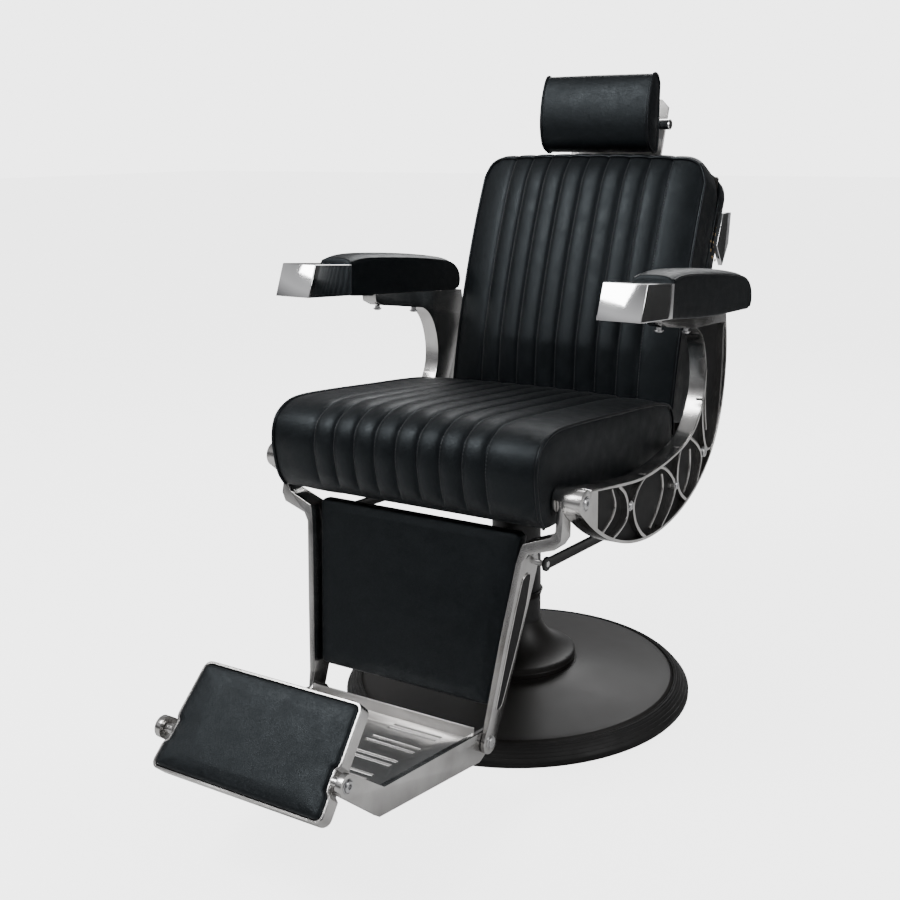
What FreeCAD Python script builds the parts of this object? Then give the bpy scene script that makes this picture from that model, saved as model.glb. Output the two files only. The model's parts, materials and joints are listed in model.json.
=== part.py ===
import FreeCAD, Part
import Sketcher
import math
import os
import re

# Hydraulic barber chair. Millimetres, +Z up, origin at the centre of the base's underside.
# The chair faces -Y and the sitter's left is +X. Every size is a named cell of the sheet.

DOC = FreeCAD.newDocument("BarberChair")
SHEET = DOC.addObject("Spreadsheet::Sheet", "Sizes")
V = FreeCAD.Vector
X_AXIS = V(1, 0, 0)
Y_AXIS = V(0, 1, 0)
Z_AXIS = V(0, 0, 1)

SIZES = {
    # base
    "base_radius": 340, "base_ring_width": 32, "base_rim_height": 14, "base_ring_top": 36,
    "base_hub_radius": 115, "base_hub_height": 62, "base_floor_radius": 95, "base_floor": 10,
    "base_wall": 6, "socket_radius": 62, "washer_height": 6, "washer_bore": 20,
    # pump column
    "column_radius": 47.5, "column_top": 400, "column_bore": 39, "column_floor": 14,
    "running_gap": 0.05, "gland_height": 12, "rod_radius": 19, "piston_height": 20,
    "piston_bottom": 60, "shroud_gap": 0.8, "shroud_rim": 18, "shroud_top": 206,
    "shroud_wall": 4, "shroud_waist": 66, "shroud_waist_height": 112,
    # pedal
    "pedal_direction": 150, "pedal_pivot_out": 90, "pedal_pivot_height": 108,
    "pedal_lever_width": 24, "pedal_lever_height": 16, "pedal_lever_inner": 24,
    "pedal_reach": 300, "pedal_pin_radius": 6, "pedal_ear": 8, "pedal_ear_radius": 15,
    "pedal_pad_length": 80, "pedal_pad_width": 84, "pedal_pad_height": 12,
    # seat structure
    "hub_flange_radius": 40, "hub_flange_height": 15, "plate_height": 10, "plate_width": 280,
    "tube_height": 30, "tube_depth": 40, "tube_wall": 3, "front_tube_y": -162, "rear_tube_y": 35,
    "plate_bolt_x": 115, "bolt_radius": 5, "bolt_head_radius": 9, "bolt_head_height": 6,
    "frame_inside": 283.6, "frame_width": 32, "frame_border": 5, "frame_recess": 16,
    "panel_height": 3, "board_height": 14, "board_width": 470, "board_front": -350,
    "board_rear": 95, "front_screw_z": 466, "rear_screw_z": 452,
    # seat cushion
    "seat_width": 528, "seat_front": -393, "seat_rear": 143, "seat_front_top": 627,
    "seat_rear_top": 590, "seat_rear_corner": 560,
    # hubs at the front of the side frames, where the leg rest turns
    "hub_y": -328, "hub_z": 514, "hub_radius": 22, "hub_web_end": -287, "hub_inside": 266, "hub_pin_radius": 8,
    "eye_radius": 15, "eye_inside": 270.8, "eye_width": 12, "eye_gap": 0.5,
    # arm rests
    "arm_inside": 288, "arm_width": 77, "arm_front": -247, "arm_rear": 265,
    "arm_front_bottom": 788, "arm_rear_bottom": 749, "arm_height": 58, "cap_length": 126,
    "arm_rake": 24, "flange_front": -52, "flange_screw_front": -25, "flange_screw_rear": 98,
    "flange_knee_y": 77, "flange_knee_z": 733, "flange_tip_z": 749, "flange_root_y": 106,
    "flange_root_z": 729, "flange_screw": 6,
    # back rest
    "back_pivot_y": 165, "back_pivot_z": 485, "back_pivot_bolt": 7, "back_shaft_radius": 10,
    "back_foot_y": 150, "back_foot_z": 500, "back_foot_lean": 9, "back_curve": 1805,
    "back_length": 556, "back_width": 500, "back_crown": 40, "cushion_depth": 78,
    "back_board": 10, "cover_depth": 50, "cover_wall": 6, "cover_start": 34,
    "cover_length": 565, "bar_depth": 22, "bar_x": 200, "bar_width": 22,
    "bar_length": 510, "hinge_plate": 7,
    "crank_eye": 16,
    # link between the back and the leg rest
    "lever_run": 12, "lever_drop": 116, "link_inside": 236, "link_thick": 6, "link_gap": 1,
    "link_height": 18, "link_eye": 12, "link_pin": 5, "open_pivot_gap": 0.6,
    # recline lock
    "lock_x": -150, "lock_thick": 5, "lock_radius": 100, "lock_angle": 25, "lock_gap": 0.5,
    "lock_lead": 5, "lock_trail": 12,
    "recline": 45,
    # leg rest
    "shin_top_y": -339, "shin_top_z": 452, "shin_bottom_y": -397, "shin_bottom_z": 165,
    "shin_top_half": 203, "shin_bottom_half": 172, "calf_pad": 24, "calf_board": 6,
    "blade_width": 12, "blade_top_x": 219, "blade_bottom_x": 188, "tongue_outside": 184,
    "tongue_inside": 176.6, "fold_y": -405, "fold_z": 108, "fold_boss": 20, "fold_pin": 6,
    # footplate
    "rail_width": 10, "rail_gap": 0.6, "rail_height": 40, "rail_bend_y": -690,
    "rail_bend_z": 145, "flip_y": -766, "flip_z": 207, "flip_boss": 17, "flip_pin": 5,
    "tread_thick": 4, "tread_rise": 7.4, "tread_length": 258, "tread_flange": 24,
    "slot_length": 94, "slot_width": 7, "slot_centre": 74, "slot_pair": 17, "slot_pitch": 62,
    # flip-over foot pad
    "pad_angle": 46.4, "pad_below": 61, "pad_above": 113, "pad_bottom_half": 161,
    "pad_top_half": 151, "pad_depth": 28, "pad_front": 8.6, "pad_rim": 8, "pad_plate": 3,
    # head rest
    "post_lean": 20, "post_y": 425, "post_z": 1040, "post_half": 104, "post_thick": 5,
    "post_bottom": 252, "post_above": 106, "guide_length": 70, "guide_gap": 0.3,
    "guide_wall": 4, "guide_below": 140, "rod_y": 380, "rod_z": 1089,
    "tilt_rod_radius": 10.5, "tilt_rod_half": 140, "bracket_x": 56, "bracket_width": 12,
    "bracket_radius": 17, "head_width": 242, "head_depth": 58,
    "clamp_x": 28, "clamp_width": 14, "clamp_radius": 15,
    # recline lever
    "lever_y": 372, "lever_z": 856, "lever_thick": 9, "lever_pin": 4, "lever_gap": 2,
    "lever_rise": 61, "lever_fall": 42, "lever_front": 31, "lever_rear": 43,
}


def fill_sheet():
    for row, (name, number) in enumerate(SIZES.items(), start=1):
        SHEET.set("A%d" % row, name)
        SHEET.set("B%d" % row, str(number))
        SHEET.setAlias("B%d" % row, name)
    DOC.recompute()


fill_sheet()


class Values:
    """The sheet's cells, read as numbers."""

    def __getattr__(self, name):
        return float(SHEET.get(name))


S = Values()
PIECES = []


def bound(text):
    """A size formula with each name turned into a cell of the sheet."""
    return re.sub(r"[a-z][a-z_]+[a-z]", lambda hit: "Sizes." + hit.group(0), str(text))


def bind(item, **formulas):
    for name, text in formulas.items():
        item.setExpression(name, bound(text))
    return item


def place(item, x="0", y="0", z="0"):
    item.setExpression(".Placement.Base.x", bound(x))
    item.setExpression(".Placement.Base.y", bound(y))
    item.setExpression(".Placement.Base.z", bound(z))
    return item


def piece(label, item):
    item.Label = label
    PIECES.append(item)
    return item


def box(x, y, z, length, width, height):
    item = DOC.addObject("Part::Box", "Block")
    bind(item, Length=length, Width=width, Height=height)
    return place(item, x, y, z)


def cylinder(radius, length, x="0", y="0", z="0", axis=Z_AXIS):
    """A round bar that starts at x, y, z and runs along the axis."""
    item = DOC.addObject("Part::Cylinder", "Round")
    bind(item, Radius=radius, Height=length)
    item.Placement = FreeCAD.Placement(V(0, 0, 0), FreeCAD.Rotation(Z_AXIS, axis))
    return place(item, x, y, z)


def fuse(*items):
    item = DOC.addObject("Part::MultiFuse", "Joined")
    item.Shapes = list(items)
    return item


def cut(base, *tools):
    item = DOC.addObject("Part::Cut", "Trimmed")
    item.Base = base
    item.Tool = tools[0] if len(tools) == 1 else fuse(*tools)
    return item


def group(*items):
    """Separate solids that share one node."""
    item = DOC.addObject("Part::Compound", "Set")
    item.Links = list(items)
    return item


def mirror(source):
    item = DOC.addObject("Part::Mirroring", "Mirrored")
    item.Source = source
    item.Normal = X_AXIS
    return item


def tube(outer, inner, length, x="0", y="0", z="0", axis=Z_AXIS):
    wall = cylinder(outer, length, x, y, z, axis)
    hole = cylinder(inner, length, x, y, z, axis)
    return cut(wall, hole)


def outline(body, plane, corners):
    """A closed sketch on one of the body's planes, each corner bound to the sheet."""
    sketch = body.newObject("Sketcher::SketchObject", "Outline")
    support = [one for one in body.Origin.OriginFeatures if one.Role == plane][0]
    sketch.AttachmentSupport = [(support, "")]
    sketch.MapMode = "FlatFace"
    count = len(corners)
    turn = 2 * math.pi / count
    start = [V(math.cos(turn * i), math.sin(turn * i), 0) for i in range(count)]
    for i in range(count):
        sketch.addGeometry(Part.LineSegment(start[i], start[(i + 1) % count]), False)
    for i in range(count):
        sketch.addConstraint(Sketcher.Constraint("Coincident", i, 2, (i + 1) % count, 1))
    for i, corner in enumerate(corners):
        for kind, text in zip(("DistanceX", "DistanceY"), corner):
            number = sketch.addConstraint(Sketcher.Constraint(kind, -1, 1, i, 1, 1.0))
            sketch.setExpression("Constraints[%d]" % number, bound(text))
    return sketch


def turned(corners):
    """A body turned about Z from an outline of radius and height."""
    body = DOC.addObject("PartDesign::Body", "Turned")
    sketch = outline(body, "XZ_Plane", corners)
    spin = body.newObject("PartDesign::Revolution", "Spin")
    spin.Profile = sketch
    spin.ReferenceAxis = (sketch, ["V_Axis"])
    spin.Angle = 360
    return body


def slab(corners, width):
    """A body with an outline in Y and Z, centred on X = 0."""
    body = DOC.addObject("PartDesign::Body", "Slab")
    pad = body.newObject("PartDesign::Pad", "Pad")
    pad.Profile = outline(body, "YZ_Plane", corners)
    pad.Midplane = True
    pad.setExpression("Length", bound(width))
    return body


def solid(shape):
    item = DOC.addObject("Part::Feature", "Form")
    item.Shape = shape
    return item


def flat(points, x, width):
    """A plate with straight edges in Y and Z, from x outwards."""
    wire = Part.makePolygon([V(x, y, z) for y, z in points + points[:1]])
    return Part.Face(wire).extrude(V(width, 0, 0))


def round_bar(radius, x, length, y, z):
    return Part.makeCylinder(radius, length, V(x, y, z), X_AXIS)


def smooth(points, x):
    curve = Part.BSplineCurve()
    curve.interpolate([V(x, y, z) for y, z in points])
    return curve.toShape()


def line(x, start, end):
    return Part.makeLine(V(x, *start), V(x, *end))


# ---------------------------------------------------------------- base

def make_base():
    """A dished casting with a bearing socket, and the rubber ring round its edge."""
    edge = "base_radius - base_ring_width"
    inner_top = "base_hub_height - base_wall"
    piece("base_plate", turned([
        ("0", "0"), ("base_floor_radius", "0"), ("base_floor_radius", inner_top),
        (edge + " - base_wall", "base_ring_top - 2 - base_wall"), (edge + " - base_wall", "0"),
        (edge, "0"), (edge, "base_ring_top - 2"), ("base_hub_radius", "base_hub_height"),
        ("socket_radius", "base_hub_height"), ("socket_radius", "base_floor"),
        ("0", "base_floor")]))
    piece("base_edge_ring", turned([
        (edge, "0"), ("base_radius", "0"), ("base_radius", "base_rim_height"),
        ("base_radius - 5", "base_rim_height + 7"), (edge, "base_ring_top")]))
    washer_top = "base_floor + washer_height"
    piece("thrust_washer", tube("socket_radius - 0.5", "washer_bore", "washer_height",
                                z="base_floor"))
    piece("swivel_bush", tube("socket_radius", "column_radius + running_gap",
                              "base_hub_height - base_floor - washer_height", z=washer_top))


# ---------------------------------------------------------------- pump column

def make_pump():
    """The oil cylinder that turns in the base, with its gland and trumpet shroud."""
    foot = "base_floor + washer_height"
    height = "column_top - base_floor - washer_height"
    barrel = cylinder("column_radius", height, z=foot)
    bore = cylinder("column_bore", height, z=foot + " + column_floor")
    piece("pump_cylinder", cut(barrel, bore))
    piece("pump_gland", tube("column_radius", "rod_radius + running_gap", "gland_height",
                             z="column_top"))
    low = S.base_hub_height + S.shroud_gap
    rim = low + S.shroud_rim
    outside = S.base_hub_radius
    neck = S.column_radius + S.shroud_wall
    wall = S.shroud_wall
    waist = S.shroud_waist
    height = S.shroud_waist_height

    def flare(shift):
        return Part.Arc(V(outside - 3 - shift, 0, rim + 2), V(waist - shift, 0, height),
                        V(neck - shift, 0, S.shroud_top)).toShape()

    outer = flare(0)
    inner = flare(wall)
    ends = [edge.Vertexes for edge in (outer, inner)]
    top_out, top_in = ends[0][-1].Point, ends[1][-1].Point
    low_out, low_in = ends[0][0].Point, ends[1][0].Point
    path = [V(low_out.x, 0, low_out.z), V(outside, 0, rim), V(outside, 0, low),
            V(outside - wall - 3, 0, low), V(low_in.x, 0, low_in.z)]
    edges = [outer, Part.makeLine(top_out, top_in), inner]
    edges += [Part.makeLine(a, b) for a, b in zip(path, path[1:])]
    wire = Part.Wire(Part.__sortEdges__(edges))
    shell = Part.Face(wire).revolve(V(0, 0, 0), Z_AXIS, 360)
    slot_half = S.pedal_lever_width / 2 + S.pedal_ear + 3
    slot = Part.makeBox(outside, 2 * slot_half, 68, V(0, -slot_half, low - 1))
    slot.rotate(V(0, 0, 0), Z_AXIS, S.pedal_direction)
    column = Part.makeCylinder(S.column_radius, S.column_top)
    piece("pump_shroud", solid(shell.cut(slot).cut(column)))


def turn_to_pedal(item):
    item.Placement = FreeCAD.Placement(V(0, 0, 0), FreeCAD.Rotation(Z_AXIS, 0))
    item.setExpression(".Placement.Rotation.Angle", bound("pedal_direction"))
    return item


def make_pedal():
    """The pump lever with its rubber tread, in ears on the column."""
    half = "pedal_lever_width / 2"
    out = "pedal_pivot_out"
    level = "pedal_pivot_height"
    ears = []
    for side in ("-1", "1"):
        start = "%s * (pedal_lever_width / 2 + 0.5 + pedal_ear / 2) - pedal_ear / 2" % side
        web = box("column_radius - 6", start, level + " - pedal_ear_radius",
                  "pedal_pivot_out - column_radius + 6", "pedal_ear", "2 * pedal_ear_radius")
        nose = cylinder("pedal_ear_radius", "pedal_ear", out, start, level, Y_AXIS)
        ears.append(cut(fuse(web, nose), cylinder("pedal_pin_radius", "pedal_ear + 2", out,
                                                  start + " - 1", level, Y_AXIS)))
    column = cylinder("column_radius", "column_top")
    piece("pedal_bracket", turn_to_pedal(cut(group(*ears), column)))
    reach = "pedal_lever_width / 2 + 0.5 + pedal_ear"
    piece("pedal_pin", turn_to_pedal(group(
        cylinder("pedal_pin_radius", "2 * (%s)" % reach, out, "-(%s)" % reach, level, Y_AXIS))))
    bar = box("pedal_pivot_out - pedal_lever_inner", "-" + half,
              level + " - pedal_lever_height / 2", "pedal_lever_inner + pedal_reach",
              "pedal_lever_width", "pedal_lever_height")
    boss = cylinder("pedal_ear_radius - 3", "pedal_lever_width", out, "-" + half, level, Y_AXIS)
    hole = cylinder("pedal_pin_radius + running_gap", "pedal_lever_width + 2", out,
                    "-1 - " + half, level, Y_AXIS)
    piece("pedal_lever", turn_to_pedal(cut(fuse(bar, boss), hole)))
    piece("pedal_pad", turn_to_pedal(group(
        box("pedal_pivot_out + pedal_reach - pedal_pad_length", "-pedal_pad_width / 2",
            level + " + pedal_lever_height / 2", "pedal_pad_length", "pedal_pad_width",
            "pedal_pad_height"))))


# ---------------------------------------------------------------- seat structure

HUB_TOP = "column_top + gland_height + 3"
PLATE_LOW = HUB_TOP + " + hub_flange_height"
TUBE_LOW = PLATE_LOW + " + plate_height"
BOARD_LOW = TUBE_LOW + " + tube_height"
SEAT_LOW = BOARD_LOW + " + board_height"


def number(text):
    """A formula's value, taken from a cell of the sheet."""
    SHEET.set("D1", "=" + re.sub("Sizes.", "", bound(text)))
    DOC.recompute()
    return float(SHEET.get("D1"))


def make_seat_frame():
    """Piston rod, flange and plate, and the two cross tubes between the side frames."""
    head = cylinder("column_bore - running_gap", "piston_height", z="piston_bottom")
    rod = cylinder("rod_radius", HUB_TOP + " - piston_bottom", z="piston_bottom")
    piece("piston_rod", fuse(head, rod))
    reach = "rear_tube_y - front_tube_y + tube_depth"
    plate = box("-plate_width / 2", "front_tube_y - tube_depth / 2", PLATE_LOW,
                "plate_width", reach, "plate_height")
    flange = cylinder("hub_flange_radius", "hub_flange_height", z=HUB_TOP)
    spots = [(x, y) for x in ("-plate_bolt_x", "plate_bolt_x")
             for y in ("front_tube_y", "rear_tube_y")]
    holes = [cylinder("bolt_radius", "plate_height + 2", x, y, PLATE_LOW + " - 1")
             for x, y in spots]
    piece("mounting_plate", cut(fuse(plate, flange), *holes))
    bolts = [fuse(cylinder("bolt_radius", "plate_height", x, y, PLATE_LOW),
                  cylinder("bolt_head_radius", "bolt_head_height", x, y,
                           PLATE_LOW + " - bolt_head_height")) for x, y in spots]
    piece("plate_bolts", group(*bolts))
    for name, middle in (("front_cross_tube", "front_tube_y"), ("rear_cross_tube", "rear_tube_y")):
        outer = box("-frame_inside", middle + " - tube_depth / 2", TUBE_LOW,
                    "2 * frame_inside", "tube_depth", "tube_height")
        inner = box("-frame_inside - 1", middle + " - tube_depth / 2 + tube_wall",
                    TUBE_LOW + " + tube_wall", "2 * frame_inside + 2",
                    "tube_depth - 2 * tube_wall", "tube_height - 2 * tube_wall")
        piece(name, cut(outer, inner))
    piece("seat_board", group(box("-board_width / 2", "board_front", BOARD_LOW, "board_width",
                                  "board_rear - board_front", "board_height")))


def make_seat_cushion():
    """The foam and leather seat, with a waterfall front."""
    body = slab([
        ("seat_rear", SEAT_LOW), ("seat_front + 30", SEAT_LOW), ("seat_front + 5", "520"),
        ("seat_front", "585"), ("seat_front + 20", "seat_front_top - 14"),
        ("seat_front + 72", "seat_front_top"), ("seat_front + 130", "seat_front_top + 2"),
        ("seat_rear - 50", "seat_rear_top + 6"), ("seat_rear - 14", "seat_rear_top - 8"),
        ("seat_rear", "seat_rear_corner")], "seat_width")
    piece("seat_cushion", body)


# ---------------------------------------------------------------- side frames

def arm_under(y):
    """Height of the arm pad's underside, which slopes down to the rear."""
    run = (y - S.arm_front) / (S.arm_rear - S.arm_front)
    return S.arm_front_bottom + run * (S.arm_rear_bottom - S.arm_front_bottom)


def flange_under(y):
    """Height of the arm flange's underside, from its tip over a knee to the web."""
    tip_y = S.flange_front + 25
    corners = [(tip_y, S.flange_tip_z), (S.flange_knee_y, S.flange_knee_z),
               (S.flange_root_y, S.flange_root_z)]
    start, end = corners[:2] if y < S.flange_knee_y else corners[1:]
    return start[1] + (y - start[0]) / (end[0] - start[0]) * (end[1] - start[1])


def frame_edges(x, inset):
    """The sickle-shaped outline of a side frame, drawn in by inset."""
    i = inset
    hub_y, hub_z = S.hub_y, S.hub_z
    outer = [(hub_y - 10 + i, hub_z - 20 + i), (-240 + i / 2, 428 + i), (-101, 388 + i),
             (39, 393 + i), (149 - i / 2, 431 + i), (229 - i, 502), (266 - i, 600), (262 - i, 722)]
    inner = [(S.flange_root_y + i, S.flange_root_z), (138 + i, 707), (157 + i, 667),
             (158 + i, 601), (119 + i / 2, 545 - i),
             (23, 513 - i), (-100, 504 - i), (-222, 518 - i), (hub_y + 18 + i, 532 - i)]
    return smooth(outer, x), smooth(inner, x), outer, inner


def make_side_frames():
    """Cast frames: a sickle-shaped web, an arm flange on top and a slotted hub in front."""
    x, width = S.frame_inside, S.frame_width
    low, high, outer, inner = frame_edges(x, 0)
    front = S.flange_front
    top = [outer[-1], (S.arm_rear - 8, arm_under(S.arm_rear - 8)), (front, arm_under(front)),
           (front + 2, arm_under(front) - 14), (front + 25, S.flange_tip_z),
           (S.flange_knee_y, S.flange_knee_z), inner[0]]
    edges = [low, high, line(x, inner[-1], outer[0])]
    edges += [line(x, a, b) for a, b in zip(top, top[1:])]
    web = Part.Face(Part.Wire(Part.__sortEdges__(edges))).extrude(V(width, 0, 0))
    barrel_start = S.hub_inside
    barrel = round_bar(S.hub_radius, barrel_start, x + width - barrel_start, S.hub_y, S.hub_z)
    frame = web.fuse(barrel).removeSplitter()
    eye_start = S.eye_inside - S.eye_gap
    eye_end = S.eye_inside + S.eye_width + S.eye_gap
    room = round_bar(S.eye_radius + S.eye_gap, eye_start, eye_end - eye_start, S.hub_y, S.hub_z)
    reach = 2 * S.hub_radius
    mouth = [(S.hub_y + S.eye_radius - 1.5, S.hub_z),
             (S.hub_y - S.eye_radius / 2, S.hub_z + S.eye_radius - 5),
             (S.hub_y - reach, S.hub_z - 3), (S.hub_y - reach, S.hub_z - reach),
             (S.hub_y + reach * 0.8, S.hub_z - reach)]
    slot = flat(mouth, eye_start, eye_end - eye_start)
    pin = round_bar(S.hub_pin_radius, barrel_start + 2, x + width, S.hub_y, S.hub_z)
    pivot = round_bar(S.back_pivot_bolt, x - 1, width + 2, S.back_pivot_y, S.back_pivot_z)
    frame = frame.cut(room).cut(slot).cut(pin).cut(pivot)
    low, high, outer, inner = frame_edges(x + width - S.frame_recess, S.frame_border)
    deep = x + width - S.frame_recess
    ends = [line(deep, outer[-1], inner[0]), line(deep, inner[-1], outer[0])]
    recess_face = Part.Face(Part.Wire(Part.__sortEdges__([low, high] + ends)))
    recess = recess_face.extrude(V(S.frame_recess + 1, 0, 0))
    keep_front = S.hub_y - 2 * S.hub_radius
    keep = Part.makeBox(S.frame_recess + 3, S.hub_web_end - keep_front, 5 * S.hub_radius,
                        V(deep - 1, keep_front, S.hub_z - 4 * S.hub_radius))
    bolts = [(S.back_pivot_y, S.back_pivot_z), (S.rear_tube_y, S.rear_screw_z),
             (S.front_tube_y, S.front_screw_z)]
    bosses = [round_bar(S.bolt_head_radius, deep - 1, S.frame_recess + 3, y, z)
              for y, z in bolts]
    recess = recess.cut(keep)
    for boss in bosses:
        recess = recess.cut(boss)
    frame = frame.cut(recess)
    for y, z in bolts[1:]:
        frame = frame.cut(round_bar(S.bolt_radius, x - 1, width + 2, y, z))
    left = piece("side_frame_left", solid(frame))
    piece("side_frame_right", mirror(left))
    panel = recess_face.extrude(V(S.panel_height, 0, 0)).cut(keep)
    for boss in bosses:
        panel = panel.cut(boss)
    left = piece("side_panel_left", solid(panel))
    piece("side_panel_right", mirror(left))


def make_frame_fasteners():
    """Screws into the cross tubes, up into the arm pads, the hub pins and the back's bolts."""
    outside = S.frame_inside + S.frame_width
    shapes = []
    for y, z in ((S.rear_tube_y, S.rear_screw_z), (S.front_tube_y, S.front_screw_z)):
        shank = round_bar(S.bolt_radius, S.frame_inside, S.frame_width, y, z)
        shapes.append(shank.fuse(round_bar(S.bolt_head_radius - 2, outside, 2, y, z)))
    for y in (S.flange_screw_front, S.flange_screw_rear):
        middle = S.frame_inside + S.frame_width / 2
        z = flange_under(y + S.bolt_radius) - S.flange_screw
        shapes.append(Part.makeCylinder(S.bolt_radius, S.flange_screw, V(middle, y, z), Z_AXIS))
    left = solid(Part.makeCompound(shapes))
    piece("frame_screws", group(left, mirror(left)))
    pin = round_bar(S.hub_pin_radius, S.hub_inside + 2, outside - 4 - S.hub_inside - 2,
                    S.hub_y, S.hub_z)
    left = solid(pin)
    piece("hub_pins", group(left, mirror(left)))
    depth = 25
    bolt = round_bar(S.back_pivot_bolt, S.frame_inside - depth, S.frame_width + depth,
                     S.back_pivot_y, S.back_pivot_z)
    bolt = bolt.fuse(round_bar(S.back_pivot_bolt + 3, outside, 2.5, S.back_pivot_y,
                               S.back_pivot_z))
    left = solid(bolt)
    piece("back_pivot_bolts", group(left, mirror(left)))


def make_arms():
    """A leather pad on each arm, with a plated box cap on its front end."""
    x, width = S.arm_inside, S.arm_width
    front, rear, tall = S.arm_front, S.arm_rear, S.arm_height
    joint = front + S.cap_length
    cap = [(front, arm_under(front)), (joint, arm_under(joint)), (joint + 5, arm_under(joint) + tall),
           (front + S.arm_rake, arm_under(front) + tall)]
    left = piece("arm_cap_left", solid(flat(cap, x, width)))
    piece("arm_cap_right", mirror(left))
    pad = [(joint, arm_under(joint)), (rear - 8, arm_under(rear - 8)), (rear, arm_under(rear) + 18),
           (rear - 6, arm_under(rear) + 44), (rear - 32, arm_under(rear) + 62),
           (rear - 90, arm_under(rear - 90) + tall + 8), (joint + 90, arm_under(joint + 90) + tall + 8),
           (joint + 5, arm_under(joint) + tall)]
    left = piece("arm_pad_left", solid(flat(pad, x, width)))
    piece("arm_pad_right", mirror(left))


# ---------------------------------------------------------------- back rest

def back_centre():
    lean = math.radians(S.back_foot_lean)
    return (S.back_foot_y + S.back_curve * math.cos(lean),
            S.back_foot_z - S.back_curve * math.sin(lean))


def back_point(depth, run):
    """A point depth behind the back's front face, run up along it from its foot."""
    angle = math.radians(S.back_foot_lean) + run / S.back_curve
    y, z = back_centre()
    radius = S.back_curve - depth
    return (y - radius * math.cos(angle), z + radius * math.sin(angle))


def back_sweep(section, start, length):
    """A section in X and depth, swept up the curved back."""
    y, z = back_centre()
    angle = math.radians(S.back_foot_lean) + start / S.back_curve
    face = Part.Face(section)
    face.translate(V(0, y, z))
    face.rotate(V(0, y, z), X_AXIS, -math.degrees(angle))
    return face.revolve(V(0, y, z), V(-1, 0, 0), math.degrees(length / S.back_curve))


def back_bar(x, width, depth, thick, start, length):
    """A rectangular bar that follows the back's curve."""
    near, far = depth - S.back_curve, depth + thick - S.back_curve
    points = [V(x, near, 0), V(x + width, near, 0), V(x + width, far, 0), V(x, far, 0)]
    return back_sweep(Part.makePolygon(points + points[:1]), start, length)


def make_back():
    """Cushion, board, steel bars and upholstered cover, on a shaft between the frames."""
    half = S.back_width / 2
    near = -S.back_curve
    far = near + S.cushion_depth
    crown = Part.Arc(V(-half, near, 0), V(0, near - S.back_crown, 0), V(half, near, 0)).toShape()
    sides = [Part.makeLine(V(half, near, 0), V(half, far, 0)),
             Part.makeLine(V(half, far, 0), V(-half, far, 0)),
             Part.makeLine(V(-half, far, 0), V(-half, near, 0))]
    crown_wire = Part.Wire(Part.__sortEdges__([crown] + sides))
    cushion = back_sweep(crown_wire, 0, S.back_length)
    room = Part.makeBox(2 * half, 100, 200, V(-half, S.seat_rear - 98, S.back_foot_z - 100))
    channel = round_bar(S.crank_eye + 1, -half - 1, 2 * half + 2, S.back_pivot_y, S.back_pivot_z)
    piece("back_cushion", solid(cushion.cut(room).cut(channel)))
    board_depth = S.cushion_depth
    frame_depth = board_depth + S.back_board
    piece("back_board", solid(back_bar(-half + 10, 2 * half - 20, board_depth, S.back_board,
                                       6, S.back_length - 12)))
    bars = []
    for x in (-S.bar_x - S.bar_width, S.bar_x):
        bars.append(back_bar(x, S.bar_width, frame_depth, S.bar_depth, 0, S.bar_length))
    for run in (70, 290):
        bars.append(back_bar(-S.bar_x, 2 * S.bar_x, frame_depth, S.bar_depth, run, S.bar_width))
    piece("back_bars", solid(Part.makeCompound(bars)))
    outer = back_bar(-half, 2 * half, frame_depth, S.cover_depth, S.cover_start,
                     S.cover_length - S.cover_start)
    wall = S.cover_wall
    inner = back_bar(wall - half, 2 * (half - wall), frame_depth - 1, S.cover_depth + 1 - wall,
                     S.cover_start - 1, S.cover_length - S.cover_start - wall)
    post_slot = post_frame(S.post_half + 3, S.post_thick + 6, -100, 60)
    cover = outer.cut(inner).cut(post_slot)
    piece("back_cover", solid(cover))


def make_back_hinge():
    """Shaft, hinge plates and the cranks that push the leg-rest links."""
    y, z = S.back_pivot_y, S.back_pivot_z
    reach = S.frame_inside - 0.6
    shaft = round_bar(S.back_shaft_radius, -reach, 2 * reach, y, z)
    for start in (-reach - 1, reach - 30):
        shaft = shaft.cut(round_bar(S.back_pivot_bolt + S.running_gap, start, 31, y, z))
    piece("back_shaft", solid(shaft))
    depth = S.cushion_depth + S.back_board
    near = depth + 0.4
    plate = [(y, z - S.crank_eye), (y, z + 10), back_point(near, 0), back_point(near, 30),
             back_point(depth + S.bar_depth, 30), back_point(depth + S.bar_depth, -14)]
    x = S.bar_x + S.bar_width
    shape = flat(plate, x, S.hinge_plate).fuse(round_bar(S.crank_eye, x, S.hinge_plate, y, z))
    shape = shape.cut(round_bar(S.back_shaft_radius, x - 1, S.hinge_plate + 2, y, z))
    left = solid(shape)
    piece("hinge_plates", group(left, mirror(left)))
    x = S.link_inside + S.link_thick + S.link_gap
    run, drop = S.lever_run, S.lever_drop
    crank = link_bar(x, (y, z), (y + run, z - drop), 26, S.crank_eye, S.link_eye)
    crank = crank.cut(round_bar(S.back_shaft_radius, x - 1, S.link_thick + 2, y, z))
    pin = round_bar(S.link_pin, S.link_inside - 1, x - S.link_inside + 1, y + run, z - drop)
    left = solid(crank.fuse(pin))
    piece("link_cranks", group(left, mirror(left)))


def link_bar(x, start, end, height, start_radius, end_radius):
    """A flat bar between two eyes."""
    along = V(0, end[0] - start[0], end[1] - start[1])
    along.normalize()
    side = V(0, -along.z, along.y) * (height / 2)
    a, b = V(x, *start), V(x, *end)
    points = [a + side, b + side, b - side, a - side]
    bar = Part.Face(Part.makePolygon(points + points[:1])).extrude(V(S.link_thick, 0, 0))
    bar = bar.fuse(round_bar(start_radius, x, S.link_thick, *start))
    return bar.fuse(round_bar(end_radius, x, S.link_thick, *end)).removeSplitter()


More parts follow.
